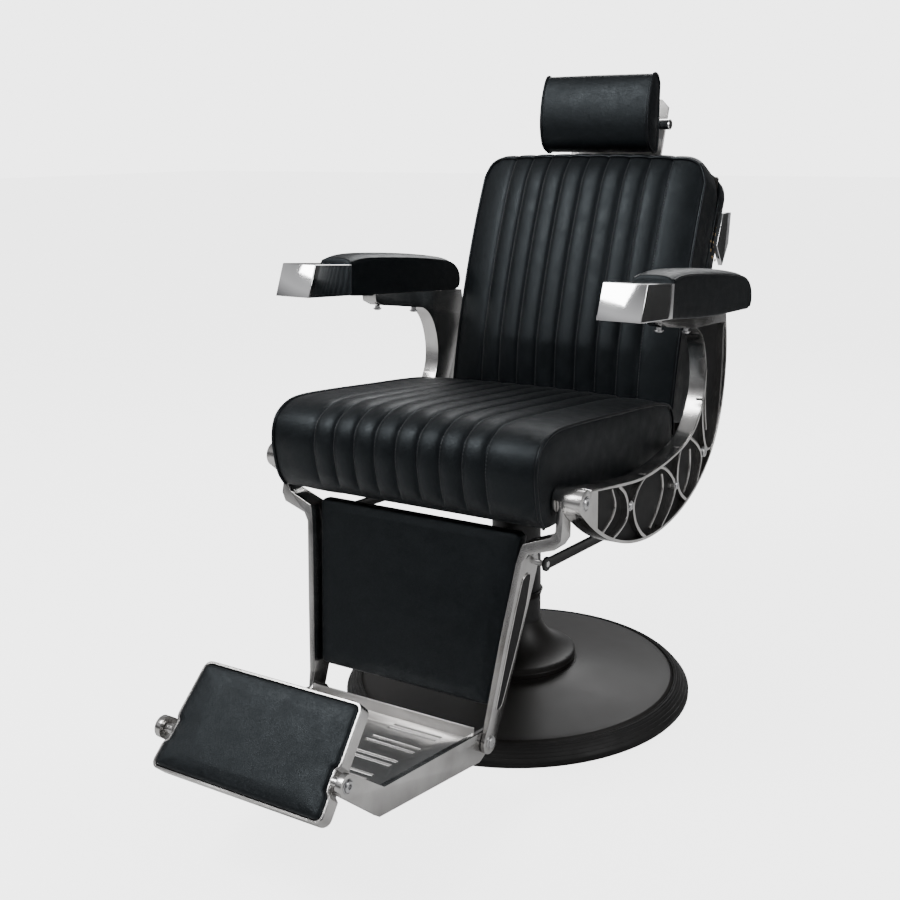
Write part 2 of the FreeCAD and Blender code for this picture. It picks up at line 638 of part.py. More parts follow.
def make_links():
    """Two rods that carry the back's tilt to the leg rest."""
    front = (S.hub_y + S.lever_run, S.hub_z - S.lever_drop)
    rear = (S.back_pivot_y + S.lever_run, S.back_pivot_z - S.lever_drop)
    x = S.link_inside
    rod = link_bar(x, front, rear, S.link_height, S.link_eye, S.link_eye)
    rod = rod.cut(round_bar(S.link_pin + S.open_pivot_gap, x - 1, S.link_thick + 2, *front))
    rod = rod.cut(round_bar(S.link_pin + S.running_gap, x - 1, S.link_thick + 2, *rear))
    left = solid(rod)
    piece("link_rods", group(left, mirror(left)))


def make_recline_lock():
    """A quadrant on the back's shaft, gripped by a block on the seat frame."""
    y, z = S.back_pivot_y, S.back_pivot_z
    radius, thick, x = S.lock_radius, S.lock_thick, S.lock_x
    start = S.lock_angle - S.recline - S.lock_trail
    end = S.lock_angle + S.lock_lead
    sector = Part.makeCylinder(radius, thick, V(x, y, z), X_AXIS, end - start)
    first = sector.CenterOfMass - V(x, y, z)
    middle = math.radians((start + end) / 2)
    want = V(0, -math.sin(middle), -math.cos(middle))
    turn = math.degrees(math.atan2(want.z, want.y) - math.atan2(first.z, first.y))
    sector.rotate(V(x, y, z), X_AXIS, turn)
    sector = sector.fuse(round_bar(S.crank_eye, x, thick, y, z))
    sector = sector.cut(round_bar(S.back_shaft_radius, x - 1, thick + 2, y, z))
    piece("lock_quadrant", solid(sector))
    angle = math.radians(S.lock_angle)
    grip_y = y - (radius - 6) * math.sin(angle)
    grip_z = z - (radius - 6) * math.cos(angle)
    tube_rear = S.rear_tube_y + S.tube_depth / 2
    tube_low = number(TUBE_LOW)
    block = Part.makeBox(thick + 24, 26, 22, V(x - 12, grip_y - 20, grip_z - 11))
    arm = Part.makeBox(thick + 24, grip_y - tube_rear, 12, V(x - 12, tube_rear, tube_low))
    drop = Part.makeBox(thick + 24, 14, tube_low - grip_z + 12,
                        V(x - 12, grip_y - 34, grip_z))
    gap = S.lock_gap
    body = block.fuse(arm).fuse(drop)
    ring = round_bar(radius + 1, x - gap, thick + 2 * gap, y, z)
    piece("lock_block", solid(body.cut(ring)))


# ---------------------------------------------------------------- leg rest

def make_leg_arms():
    """Cast arms: an eye in the hub, an inward bend below the seat and a tapering blade."""
    eye_in, eye_out = S.eye_inside, S.eye_inside + S.eye_width
    wide = S.blade_width
    top, low = S.blade_top_x, S.blade_bottom_x
    middle = (top + low) / 2
    hub_y, hub_z = S.hub_y, S.hub_z
    fold_y, fold_z, boss = S.fold_y, S.fold_z, S.fold_boss
    front_view = [
        (eye_out, hub_z + 30), (eye_out, hub_z - 62), (eye_out - 9, hub_z - 76),
        (top + 9, hub_z - 90), (top, hub_z - 104), (middle, fold_z + 175),
        (low, fold_z + 44), (S.tongue_outside, fold_z + 16), (S.tongue_outside, fold_z - 30),
        (S.tongue_inside, fold_z - 30), (S.tongue_inside, fold_z + 40),
        (middle - wide, fold_z + 175), (top - wide, hub_z - 109), (top - wide + 6, hub_z - 82),
        (top - 3, hub_z - 75), (eye_in - 8, hub_z - 58), (eye_in, hub_z - 48),
        (eye_in, hub_z + 30)]
    wire = Part.makePolygon([V(x, -600, z) for x, z in front_view + front_view[:1]])
    across = Part.Face(wire).extrude(V(0, 500, 0))
    half_neck = S.eye_radius - 3
    side_view = [
        (hub_y - half_neck, hub_z), (-346, 470), (-358, 420), (-387, 275), (-410, 152),
        (fold_y - boss, fold_z), (fold_y + boss, fold_z), (-368, 152), (-333, 275),
        (-302, 395), (-312, 418), (-317, 440), (-315, 470), (hub_y + half_neck, hub_z)]
    blade = flat(side_view, 0, 400)
    ends = round_bar(S.eye_radius, 0, 400, hub_y, hub_z)
    ends = ends.fuse(round_bar(boss, 0, 400, fold_y, fold_z))
    arm = across.common(blade.fuse(ends).removeSplitter())
    arm = arm.cut(round_bar(S.hub_pin_radius + S.running_gap, 200, 200, hub_y, hub_z))
    arm = arm.cut(round_bar(S.fold_pin + S.running_gap, 100, 200, fold_y, fold_z))
    left = piece("leg_arm_left", solid(arm))
    piece("leg_arm_right", mirror(left))
    y, z = hub_y + S.lever_run, hub_z - S.lever_drop
    pin = round_bar(S.link_pin, top, S.link_inside + S.link_thick - top, y, z)
    left = solid(pin.cut(arm))
    piece("link_pins", group(left, mirror(left)))


def shin_plate(front, thick, shrink):
    """A tapered panel parallel to the calf pad's face, front behind that face."""
    down = V(0, S.shin_bottom_y - S.shin_top_y, S.shin_bottom_z - S.shin_top_z)
    down.normalize()
    behind = V(0, -down.z, down.y)
    top = V(0, S.shin_top_y, S.shin_top_z) + behind * front + down * shrink
    low = V(0, S.shin_bottom_y, S.shin_bottom_z) + behind * front - down * shrink
    upper, lower = S.shin_top_half - shrink, S.shin_bottom_half - shrink
    points = [top + V(upper, 0, 0), top - V(upper, 0, 0), low - V(lower, 0, 0),
              low + V(lower, 0, 0)]
    face = Part.Face(Part.makePolygon(points + points[:1]))
    return face.extrude(behind * thick)


def make_calf_panel():
    piece("calf_pad", solid(shin_plate(0, S.calf_pad, 0)))
    piece("calf_board", solid(shin_plate(S.calf_pad, S.calf_board, 6)))
    height = 30
    z = (S.shin_top_z + S.shin_bottom_z) / 2
    half = (S.blade_top_x + S.blade_bottom_x) / 2 - S.blade_width - 2
    board = shin_plate(S.calf_pad, S.calf_board, 6)
    bar = Part.makeBox(2 * half, 60, height, V(-half, -345, z - height / 2))
    rear = Part.makeBox(2 * half, 100, height, V(-half, -335, z - height / 2))
    cross = bar.cut(board).cut(shin_plate(0, S.calf_pad, 0)).cut(rear)
    cross = max(cross.Solids, key=lambda one: one.CenterOfMass.y)
    piece("leg_crossbar", solid(cross))


# ---------------------------------------------------------------- footplate

def make_footplate():
    """Two rails, a slotted tread between them and the bolts they fold on."""
    outside = S.tongue_inside - S.rail_gap
    x = outside - S.rail_width
    fold, bend, flip = (S.fold_y, S.fold_z), (S.rail_bend_y, S.rail_bend_z), (S.flip_y, S.flip_z)
    half = S.rail_height / 2
    side_view = [
        (fold[0], fold[1] + half), (bend[0] + 6, bend[1] + half), (flip[0] + 11, flip[1] + 13),
        (flip[0] - 12, flip[1] - 12), (bend[0] - 8, bend[1] - half - 1),
        (fold[0] - 22, fold[1] - half - 8), (fold[0], fold[1] - half)]
    rail = flat(side_view, x, S.rail_width)
    rail = rail.fuse(round_bar(half, x, S.rail_width, *fold))
    rail = rail.fuse(round_bar(S.flip_boss, x, S.rail_width, *flip)).removeSplitter()
    rail = rail.cut(round_bar(S.fold_pin, x - 1, S.rail_width + 2, *fold))
    rail = rail.cut(round_bar(S.flip_pin + S.running_gap, x - 1, S.rail_width + 2, *flip))
    left = piece("foot_rail_left", solid(rail))
    piece("foot_rail_right", mirror(left))
    bolt = round_bar(S.fold_pin, x, S.tongue_outside - x, *fold)
    bolt = bolt.fuse(round_bar(S.fold_pin + 3, S.tongue_outside + 0.3, 3, *fold))
    bolt = bolt.fuse(round_bar(S.fold_pin, x, S.tongue_outside + 1 - x, *fold))
    left = solid(bolt)
    piece("fold_bolts", group(left, mirror(left)))
    make_tread(x)


def make_tread(half):
    """The slotted steel tread, flat and then tilted to the rails."""
    length = S.tread_length
    plate = Part.makeBox(2 * half, length, S.tread_thick, V(-half, -length, 0))
    flange = Part.makeBox(2 * half, S.tread_thick, S.tread_flange, V(-half, -S.tread_thick, 0))
    plate = plate.fuse(flange).removeSplitter()
    for row in range(4):
        for pair in (-0.5, 0.5):
            y = -length + 36 + S.slot_pitch * row + pair * S.slot_pair
            for x in (-S.slot_centre, S.slot_centre):
                slot = Part.makeBox(S.slot_length, S.slot_width, 20,
                                    V(x - S.slot_length / 2, y - S.slot_width / 2, -5))
                plate = plate.cut(slot)
    plate.rotate(V(0, 0, 0), X_AXIS, -S.tread_rise)
    plate.translate(V(0, S.fold_y - S.fold_boss - 3, S.fold_z + 7))
    piece("foot_tread", solid(plate))


# ---------------------------------------------------------------- flip-over foot pad

def tapered(low, high, low_half, high_half, back, thick):
    """A tapered plate in the foot pad's own plane."""
    points = [V(-low_half, low, back), V(low_half, low, back), V(high_half, high, back),
              V(-high_half, high, back)]
    return Part.Face(Part.makePolygon(points + points[:1])).extrude(V(0, 0, thick))


def make_foot_pad():
    """A rim, a leather pad in its front and a tread plate in its back, on two pins."""
    low, high = -S.pad_below, S.pad_above
    low_half, high_half = S.pad_bottom_half, S.pad_top_half
    back = S.pad_front - S.pad_depth
    rim, plate = S.pad_rim, S.pad_plate
    outer = tapered(low, high, low_half, high_half, back, S.pad_depth - 4)
    inner = tapered(low + rim, high - rim, low_half - rim, high_half - rim, back - 1, S.pad_depth)
    cushion = tapered(low + rim, high - rim, low_half - rim, high_half - rim, back + plate + 4,
                      S.pad_depth - plate - 4)
    tread = tapered(low + rim, high - rim, low_half - rim, high_half - rim, back, plate)
    outside = S.tongue_inside - S.rail_gap
    start = low_half - rim - 4
    pin = round_bar(S.flip_pin, start, outside - start, 0, 0)
    frame = outer.cut(inner)
    pins = [pin, pin.mirror(V(0, 0, 0), X_AXIS)]
    for one in pins:
        frame = frame.cut(one)
        cushion = cushion.cut(one)
    turned_to = FreeCAD.Placement(V(0, S.flip_y, S.flip_z), FreeCAD.Rotation(X_AXIS, S.pad_angle))
    shapes = {"pad_frame": frame, "pad_cushion": cushion, "pad_tread": tread,
              "pad_pins": Part.makeCompound(pins)}
    for label, shape in shapes.items():
        item = piece(label, solid(shape))
        item.Placement = turned_to


# ---------------------------------------------------------------- head rest

def post_frame(half, thick, start, end):
    """A plate in the head-rest post's plane, from start to end along its slope."""
    plate = Part.makeBox(2 * half, thick, end - start, V(-half, -thick / 2, start))
    plate.rotate(V(0, 0, 0), X_AXIS, -S.post_lean)
    plate.translate(V(0, S.post_y, S.post_z))
    return plate


def make_headrest():
    """A flat plated post in a guide, and a pad that tilts on a knurled rod."""
    half, thick = S.post_half, S.post_thick
    post = post_frame(half, thick, -S.post_bottom, S.post_above)
    piece("headrest_post", solid(post))
    gap, wall = S.guide_gap, S.guide_wall
    low = -S.guide_below
    high = low + S.guide_length
    guide = post_frame(S.bar_x, thick + 2 * (gap + wall), low, high)
    guide = guide.cut(post_frame(half + gap, thick + 2 * gap, low - 1, high + 1))
    piece("headrest_guide", solid(guide))
    y, z = S.rod_y, S.rod_z
    lean = math.tan(math.radians(S.post_lean))
    face = S.post_y + (z - S.post_z) * lean
    arms = []
    for x in (-S.bracket_x - S.bracket_width, S.bracket_x):
        arm = flat([(y, z - 14), (face + 20, z - 14), (face + 20, z + 14), (y, z + 14)], x,
                   S.bracket_width)
        arm = arm.fuse(round_bar(S.bracket_radius, x, S.bracket_width, y, z)).removeSplitter()
        behind = post_frame(half, 60, -S.post_bottom, S.post_above + 50)
        shift = 30 - thick / 2
        slope = math.radians(S.post_lean)
        behind.translate(V(0, shift * math.cos(slope), -shift * math.sin(slope)))
        arm = arm.cut(behind)
        arm = arm.cut(round_bar(S.tilt_rod_radius + S.running_gap, x - 1, S.bracket_width + 2,
                                y, z))
        arms.append(arm)
    piece("headrest_bracket", solid(Part.makeCompound(arms)))
    rod = round_bar(S.tilt_rod_radius, -S.tilt_rod_half, 2 * S.tilt_rod_half, y, z)
    piece("tilt_rod", solid(rod))
    make_head_pad(y, z)


def make_head_pad(y, z):
    rear = y - S.tilt_rod_radius - 1.5
    depth, half = S.head_depth, S.head_width / 2
    side_view = [
        V(-half, rear - 26, z - 55), V(-half, rear - depth, z - 6), V(-half, rear - 30, z + 98),
        V(-half, rear + 4, z + 88), V(-half, rear, z)]
    front = Part.Arc(side_view[0], side_view[1], side_view[2]).toShape()
    rest = [Part.makeLine(a, b) for a, b in zip(side_view[2:], side_view[3:] + side_view[:1])]
    face = Part.Face(Part.Wire(Part.__sortEdges__([front] + rest)))
    cushion = face.extrude(V(2 * half, 0, 0))
    clamps = []
    for x in (-S.clamp_x - S.clamp_width, S.clamp_x):
        clamp = flat([(rear - 8, z - 12), (y, z - 12), (y, z + 12), (rear - 8, z + 12)], x,
                     S.clamp_width)
        clamp = clamp.fuse(round_bar(S.clamp_radius, x, S.clamp_width, y, z)).removeSplitter()
        clamp = clamp.cut(round_bar(S.tilt_rod_radius, x - 1, S.clamp_width + 2, y, z))
        clamps.append(clamp)
    ring = Part.makeCompound(clamps)
    gap = 0.5
    for x in (-S.bracket_x - S.bracket_width, S.bracket_x):
        cushion = cushion.cut(round_bar(S.bracket_radius + gap, x - gap,
                                        S.bracket_width + 2 * gap, y, z))
    piece("headrest_cushion", solid(cushion.cut(ring)))
    piece("headrest_clamps", solid(ring))


def make_recline_lever():
    """The plated release lever on the side of the back."""
    x = S.back_width / 2 + S.lever_gap
    y, z = S.lever_y, S.lever_z
    paddle = [(y - 2, z + S.lever_rise), (y + S.lever_rear, z + S.lever_rise),
              (y + S.lever_rear - 9, z), (y + 2, z - S.lever_fall), (y - S.lever_front, z)]
    lever = flat(paddle, x, S.lever_thick)
    lever = lever.fuse(round_bar(S.lever_pin, S.back_width / 2 - S.cover_wall - 6,
                                 x - S.back_width / 2 + S.cover_wall + 7, y, z))
    piece("recline_lever", solid(lever))
    cover = [one for one in PIECES if one.Label == "back_cover"][0]
    hole = round_bar(S.lever_pin + S.running_gap, S.back_width / 2 - 20, 40, y, z)
    cover.Shape = cover.Shape.cut(hole)


make_base()
make_pump()
make_pedal()
make_seat_frame()
make_seat_cushion()
make_side_frames()
make_frame_fasteners()
make_arms()
make_back()
make_back_hinge()
make_links()
make_recline_lock()
make_leg_arms()
make_calf_panel()
make_footplate()
make_foot_pad()
make_headrest()
make_recline_lever()
DOC.recompute()

# ---------------------------------------------------------------- checks and export

for item in DOC.Objects:
    if "Invalid" in item.State or "Error" in item.State:
        raise SystemExit("failed: %s %s" % (item.Label, item.State))
labels = [item.Label for item in PIECES]
if len(set(labels)) != len(labels):
    raise SystemExit("labels repeat")
for item in PIECES:
    if item.Shape.isNull() or not item.Shape.isValid() or not item.Shape.Solids:
        raise SystemExit("no valid solid: " + item.Label)

os.makedirs("parts", exist_ok=True)
for item in PIECES:
    item.Shape.exportStep("parts/%s.step" % item.Label)
print(len(PIECES), "parts written")
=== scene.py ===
import json
import math

import bpy
from mathutils import Matrix, Vector
from mathutils.bvhtree import BVHTree
from mathutils.kdtree import KDTree


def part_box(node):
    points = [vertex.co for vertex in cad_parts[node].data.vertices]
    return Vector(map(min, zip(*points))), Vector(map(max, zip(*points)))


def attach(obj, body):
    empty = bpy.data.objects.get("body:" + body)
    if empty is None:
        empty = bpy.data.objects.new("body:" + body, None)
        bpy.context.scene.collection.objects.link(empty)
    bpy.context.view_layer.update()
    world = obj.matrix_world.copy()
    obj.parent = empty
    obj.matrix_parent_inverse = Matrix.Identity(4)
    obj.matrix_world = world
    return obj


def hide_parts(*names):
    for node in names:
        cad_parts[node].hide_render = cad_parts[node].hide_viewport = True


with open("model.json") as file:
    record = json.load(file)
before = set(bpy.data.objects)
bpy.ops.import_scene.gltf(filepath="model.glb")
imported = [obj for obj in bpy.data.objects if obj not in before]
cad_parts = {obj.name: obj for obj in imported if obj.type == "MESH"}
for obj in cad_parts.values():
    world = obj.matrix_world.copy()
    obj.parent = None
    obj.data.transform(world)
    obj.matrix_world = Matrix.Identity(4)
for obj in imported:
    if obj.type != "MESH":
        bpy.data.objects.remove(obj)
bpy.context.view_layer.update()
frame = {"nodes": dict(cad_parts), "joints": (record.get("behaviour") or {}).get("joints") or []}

nodes = frame["nodes"]
hinge = {joint["name"]: Vector(joint.get("pos_m") or (0, 0, 0)) for joint in frame["joints"]}
bpy.ops.object.select_all(action="DESELECT")

# Studio. The camera stands ahead and to the sitter's left, a little above the arms.
# A pale floor, a sky in pale and dark bands for the metal, a black flag that only shows in
# reflections, and three soft boxes.
heading, pitch, roll = (math.radians(a) for a in (30.864, 14.040, -0.461))
ahead = Vector((-math.sin(heading) * math.cos(pitch), math.cos(heading) * math.cos(pitch),
                -math.sin(pitch)))
across = Vector((math.cos(heading), math.sin(heading), 0))
upward = across.cross(ahead)
right = math.cos(roll) * across + math.sin(roll) * upward
lens = bpy.data.cameras.new("camera")
lens.lens, lens.sensor_width = 48.15, 36.0
lens.shift_x, lens.shift_y = -0.0568, -0.0133
camera = bpy.data.objects.new("camera", lens)
turn = Matrix((right, right.cross(ahead), -ahead)).transposed().to_4x4()
camera.matrix_world = Matrix.Translation((1.1193, -1.9287, 1.0672)) @ turn
bpy.context.scene.collection.objects.link(camera)
bpy.context.scene.camera = camera



def feed(tree, node, inputs):
    """Gives each input a value, or a link from another node's output."""
    for name, value in inputs.items():
        if isinstance(value, bpy.types.NodeSocket):
            tree.links.new(value, node.inputs[name])
        else:
            node.inputs[name].default_value = value


def add(tree, kind, inputs=None, **settings):
    """A new shader node, with its settings made and its inputs fed."""
    made = tree.nodes.new(kind)
    for name, value in settings.items():
        setattr(made, name, value)
    feed(tree, made, inputs or {})
    return made


def blank(name):
    """A new material, its node tree and its Principled node."""
    made = bpy.data.materials.new(name)
    made.use_nodes = True
    return made, made.node_tree, made.node_tree.nodes["Principled BSDF"]


bpy.ops.mesh.primitive_plane_add(size=60, location=(0, 0, -0.0004))
floor = bpy.context.object
floor.name = "studio_floor"
paper, tree, surface = blank("studio_paper")
direct = add(tree, "ShaderNodeLightPath")
glow = add(tree, "ShaderNodeMath", {0: direct.outputs["Is Camera Ray"], 1: 3.4},
           operation="MULTIPLY")
feed(tree, surface, {"Base Color": (0.62, 0.62, 0.62, 1), "Roughness": 0.9,
                     "Specular IOR Level": 0.1, "Emission Color": (1, 1, 1, 1),
                     "Emission Strength": glow.outputs[0]})
floor.data.materials.append(paper)

for label, place, size, power in (("key", (-1.3, -2.0, 3.0), 1.5, 105),
                                  ("side", (3.0, -0.4, 1.9), 1.2, 40),
                                  ("rear", (-0.6, 2.4, 2.6), 1.6, 60)):
    lamp = bpy.data.lights.new(label, "AREA")
    lamp.size, lamp.energy = size, power
    box = bpy.data.objects.new(label, lamp)
    aim = Vector((0, 0, 0.65)) - Vector(place)
    box.matrix_world = Matrix.Translation(place) @ aim.to_track_quat("-Z", "Y").to_matrix().to_4x4()
    bpy.context.scene.collection.objects.link(box)

bpy.ops.mesh.primitive_plane_add(size=2.6, location=(1.9, 1.9, 0.35),
                                 rotation=(math.radians(90), 0, math.radians(-38)))
flag = bpy.context.object
flag.name = "black_flag"
felt, tree, surface = blank("flag_cloth")
feed(tree, surface, {"Base Color": (0.01, 0.01, 0.01, 1)})
flag.data.materials.append(felt)
flag.visible_camera = flag.visible_diffuse = flag.visible_shadow = False

sky = bpy.data.worlds.new("studio_sky")
bpy.context.scene.world = sky
sky.use_nodes = True
tree = sky.node_tree
height = add(tree, "ShaderNodeSeparateXYZ",
             {0: add(tree, "ShaderNodeTexCoord").outputs["Generated"]})
bands = add(tree, "ShaderNodeValToRGB", {"Fac": height.outputs["Z"]})
ramp = bands.color_ramp.elements
ramp[0].color, ramp[1].color = (0.30, 0.30, 0.31, 1), (0.45, 0.45, 0.45, 1)
for spot, grey in ((0.08, 0.10), (0.22, 0.16), (0.38, 0.62), (0.7, 0.22)):
    ramp.new(spot).color = (grey, grey, grey * 1.02, 1)
seen = add(tree, "ShaderNodeLightPath")
choose = add(tree, "ShaderNodeMix", {"Factor": seen.outputs["Is Camera Ray"],
                                     "A": bands.outputs["Color"], "B": (4.2, 4.2, 4.2, 1)},
             data_type="RGBA")
feed(tree, tree.nodes["Background"], {"Color": choose.outputs["Result"], "Strength": 0.95})

# Base. A dished black casting under enamel, sprayed and baked, that carries the column in
# its socket; a ribbed rubber ring is pressed round its edge and stands on the floor.


def open_group(name, takes, gives):
    """An empty node group with number sockets: its tree, its input and its output node."""
    group = bpy.data.node_groups.new(name, "ShaderNodeTree")
    for way, labels in (("INPUT", takes), ("OUTPUT", gives)):
        for label in labels:
            group.interface.new_socket(name=label, in_out=way, socket_type="NodeSocketFloat")
    return group, group.nodes.new("NodeGroupInput"), group.nodes.new("NodeGroupOutput")


def mottle_group():
    """Soft and fine cloudiness, for worn, handled and sprayed surfaces."""
    tree, given, result = open_group("mottle", ("Coarse", "Fine"), ("Cloud", "Speck", "Height"))
    spot = add(tree, "ShaderNodeTexCoord").outputs["Object"]
    parts = []
    for name, detail in (("Coarse", 3.0), ("Fine", 2.0)):
        noise = add(tree, "ShaderNodeTexNoise", {"Vector": spot, "Scale": given.outputs[name],
                                                 "Detail": detail, "Roughness": 0.6})
        spread = add(tree, "ShaderNodeMapRange", {"Value": noise.outputs["Fac"],
                                                  "From Min": 0.3, "From Max": 0.7})
        parts.append(spread.outputs["Result"])
    cloud, speck = parts
    total = add(tree, "ShaderNodeMath", {0: cloud, 1: 0.35, 2: speck}, operation="MULTIPLY_ADD")
    feed(tree, result, {"Cloud": cloud, "Speck": speck, "Height": total.outputs[0]})
    return tree


mottle = mottle_group()


def shader(name, dark, light, smooth, rough, metal=0.0, coarse=14, fine=700, depth=0.00003,
           level=0.5):
    """A finish whose colour and gloss wander between two values over the surface."""
    made, tree, surface = blank(name)
    mask = add(tree, "ShaderNodeGroup", node_tree=mottle)
    feed(tree, mask, {"Coarse": coarse, "Fine": fine})
    cloud = mask.outputs["Cloud"]
    tint = add(tree, "ShaderNodeMix", {"Factor": cloud, "A": (*dark, 1), "B": (*light, 1)},
               data_type="RGBA")
    gloss = add(tree, "ShaderNodeMapRange", {"Value": cloud, "To Min": smooth, "To Max": rough})
    bump = add(tree, "ShaderNodeBump", {"Height": mask.outputs["Height"], "Distance": depth})
    feed(tree, surface, {"Base Color": tint.outputs["Result"], "Metallic": metal,
                         "Roughness": gloss.outputs["Result"], "Specular IOR Level": level,
                         "Normal": bump.outputs["Normal"]})
    return made


def only(piece):
    bpy.ops.object.select_all(action="DESELECT")
    piece.select_set(True)
    bpy.context.view_layer.objects.active = piece


outward = (bpy.ops.mesh.normals_make_consistent, dict(inside=False))


def edit(piece, *steps):
    """Runs edit-mode steps on the whole piece."""
    only(piece)
    bpy.ops.object.mode_set(mode="EDIT")
    bpy.ops.mesh.select_all(action="SELECT")
    for step, settings in steps:
        step(**settings)
    bpy.ops.object.mode_set(mode="OBJECT")


def weld(gap):
    return bpy.ops.mesh.remove_doubles, dict(threshold=gap)


def modify(piece, kind, **settings):
    """Adds a modifier and applies it."""
    only(piece)
    change = piece.modifiers.new(kind.lower(), kind)
    for name, value in settings.items():
        setattr(change, name, value)
    bpy.ops.object.modifier_apply(modifier=change.name)


def smooth(piece, degrees=35):
    """Shades a piece smooth, except across edges sharper than the angle."""
    only(piece)
    bpy.ops.object.shade_smooth_by_angle(angle=math.radians(degrees))


def ease(piece, width, segments=2, angle=30):
    """Breaks the sharp edges and shades the rest smooth."""
    if width:
        modify(piece, "BEVEL", width=width, segments=segments, limit_method="ANGLE",
               angle_limit=math.radians(angle))
    smooth(piece)


def dress(piece, material, body, slot, *replaced):
    piece.data.materials.clear()
    piece.data.materials.append(material)
    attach(piece, body)
    if replaced:
        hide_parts(*replaced)
    return piece


def paint(material, *names):
    for name in names:
        for face in nodes[name].material_slots:
            face.material = material


def built(name, points, faces=(), edges=()):
    """A new object from points, faces and edges."""
    mesh = bpy.data.meshes.new(name)
    mesh.from_pydata([tuple(p) for p in points], list(edges), list(faces))
    piece = bpy.data.objects.new(name, mesh)
    bpy.context.scene.collection.objects.link(piece)
    return piece


def spun(name, profile, steps=144, loop=False):
    """A turned shape: a profile of radii and heights, open or closed, spun once round Z."""
    count = len(profile)
    piece = built(name, [(radius, 0, height) for radius, height in profile],
                  edges=[(i, (i + 1) % count) for i in range(count - (not loop))])
    edit(piece, (bpy.ops.mesh.spin, dict(steps=steps, angle=2 * math.pi, center=(0, 0, 0),
                                         axis=(0, 0, 1))),
         (bpy.ops.mesh.select_all, dict(action="SELECT")), weld(0.00002), outward)
    return piece


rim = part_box("base_edge_ring")[1][0]
inner_rim = rim - 0.032
enamel = shader("base_enamel", (0.004, 0.0037, 0.0034), (0.011, 0.0095, 0.0085), 0.38, 0.5,
                coarse=5, fine=380, depth=0.00002, level=0.3)
dome_points = [(inner_rim + 0.0015, 0.001), (inner_rim + 0.0015, 0.0325),
               (inner_rim - 0.004, 0.0372)]
for step in range(1, 15):
    part = step / 14
    dome_points.append((inner_rim - 0.004 - part * (inner_rim - 0.122),
                        0.0372 + 0.0235 * part ** 1.25))
dome_points += [(0.1165, 0.062), (0.062, 0.062), (0.062, 0.012), (0.095, 0.012),
                (0.095, 0.0), (0.0, 0.0)]
dome = spun("base_dome", dome_points)
ease(dome, 0.0008)
dress(dome, enamel, "base", "base_black", "base_plate")

rubber = shader("ribbed_rubber", (0.004, 0.004, 0.004), (0.010, 0.0095, 0.0092), 0.5, 0.68,
                coarse=30, fine=900, depth=0.00005, level=0.3)
ring_points = [(inner_rim + 0.0015, 0.0004), (rim - 0.003, 0.0004), (rim, 0.004),
               (rim, 0.0125)]
rib_count = 5
for rib in range(rib_count):
    for part, drop in ((0.15, 0.0), (0.65, 0.0), (0.78, 0.0017), (0.96, 0.0017)):
        along = (rib + part) / rib_count
        swell = math.sin(along * math.pi / 2)
        ring_points.append((rim - 0.0012 - 0.0255 * along, 0.0150 + 0.0205 * swell - drop))
ring_points += [(inner_rim + 0.004, 0.0358), (inner_rim + 0.0015, 0.0335)]
ring = spun("base_ring", ring_points, steps=160, loop=True)
ease(ring, 0.0005, segments=1, angle=25)
dress(ring, rubber, "base", "ribbed_rubber", "base_edge_ring")
bronze = shader("bearing_bronze", (0.35, 0.24, 0.12), (0.5, 0.36, 0.2), 0.25, 0.4, metal=1.0)
paint(bronze, "thrust_washer", "swivel_bush")

# Pump column. A turned steel oil cylinder in satin black, with a collar below its seam, a
# screwed gland on top and a cast trumpet shroud that hides the pump's foot.


def eased(node, width, segments=2, name=None):
    """A copy of a CAD part with its triangles merged and its edges broken."""
    piece = nodes[node].copy()
    piece.data = nodes[node].data.copy()
    for key in list(piece.keys()):
        del piece[key]
    piece.parent = None
    piece.name = name or node + "_eased"
    bpy.context.scene.collection.objects.link(piece)
    edit(piece, weld(0.00001),
         (bpy.ops.mesh.dissolve_limited, dict(angle_limit=math.radians(0.6))))
    ease(piece, width, segments)
    return piece


def finished(node, width, material, body, slot, segments=2, name=None):
    """The eased copy of a CAD part, in its material, standing for that part."""
    return dress(eased(node, width, segments, name), material, body, slot, node)


powder = shader("black_powder_coat", (0.004, 0.004, 0.004), (0.011, 0.011, 0.0115), 0.36, 0.5,
                coarse=22, fine=1100, depth=0.00003, level=0.35)
column_low, column_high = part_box("pump_cylinder")
column = column_high[0]
column_points = [(0, column_low[2] + 0.0006), (column - 0.001, column_low[2] + 0.0006),
                 (column - 0.0006, 0.1985), (column - 0.003, 0.1995),
                 (column - 0.003, 0.2010), (column, 0.2022), (column, 0.392),
                 (column - 0.0015, 0.3935), (column - 0.0015, 0.3955),
                 (column, 0.397), (column, column_high[2] - 0.0004),
                 (0.0195, column_high[2] - 0.0004)]
barrel = spun("pump_barrel", column_points, steps=96)
ease(barrel, 0.0004)
dress(barrel, powder, "pump", "black_steel", "pump_cylinder")
finished("pump_shroud", 0.0012, enamel, "pump", "base_black", name="pump_trumpet")
low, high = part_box("pump_shroud")
lip = spun("trumpet_lip", [(0.1105, low[2] + 0.0075), (0.1152, low[2] + 0.0075),
                           (0.1162, low[2] + 0.009), (0.1152, low[2] + 0.0105),
                           (0.1105, low[2] + 0.0105)], steps=144)
ease(lip, 0.0004)
dress(lip, enamel, "pump", "base_black")
finished("pump_gland", 0.0012, powder, "pump", "black_steel")

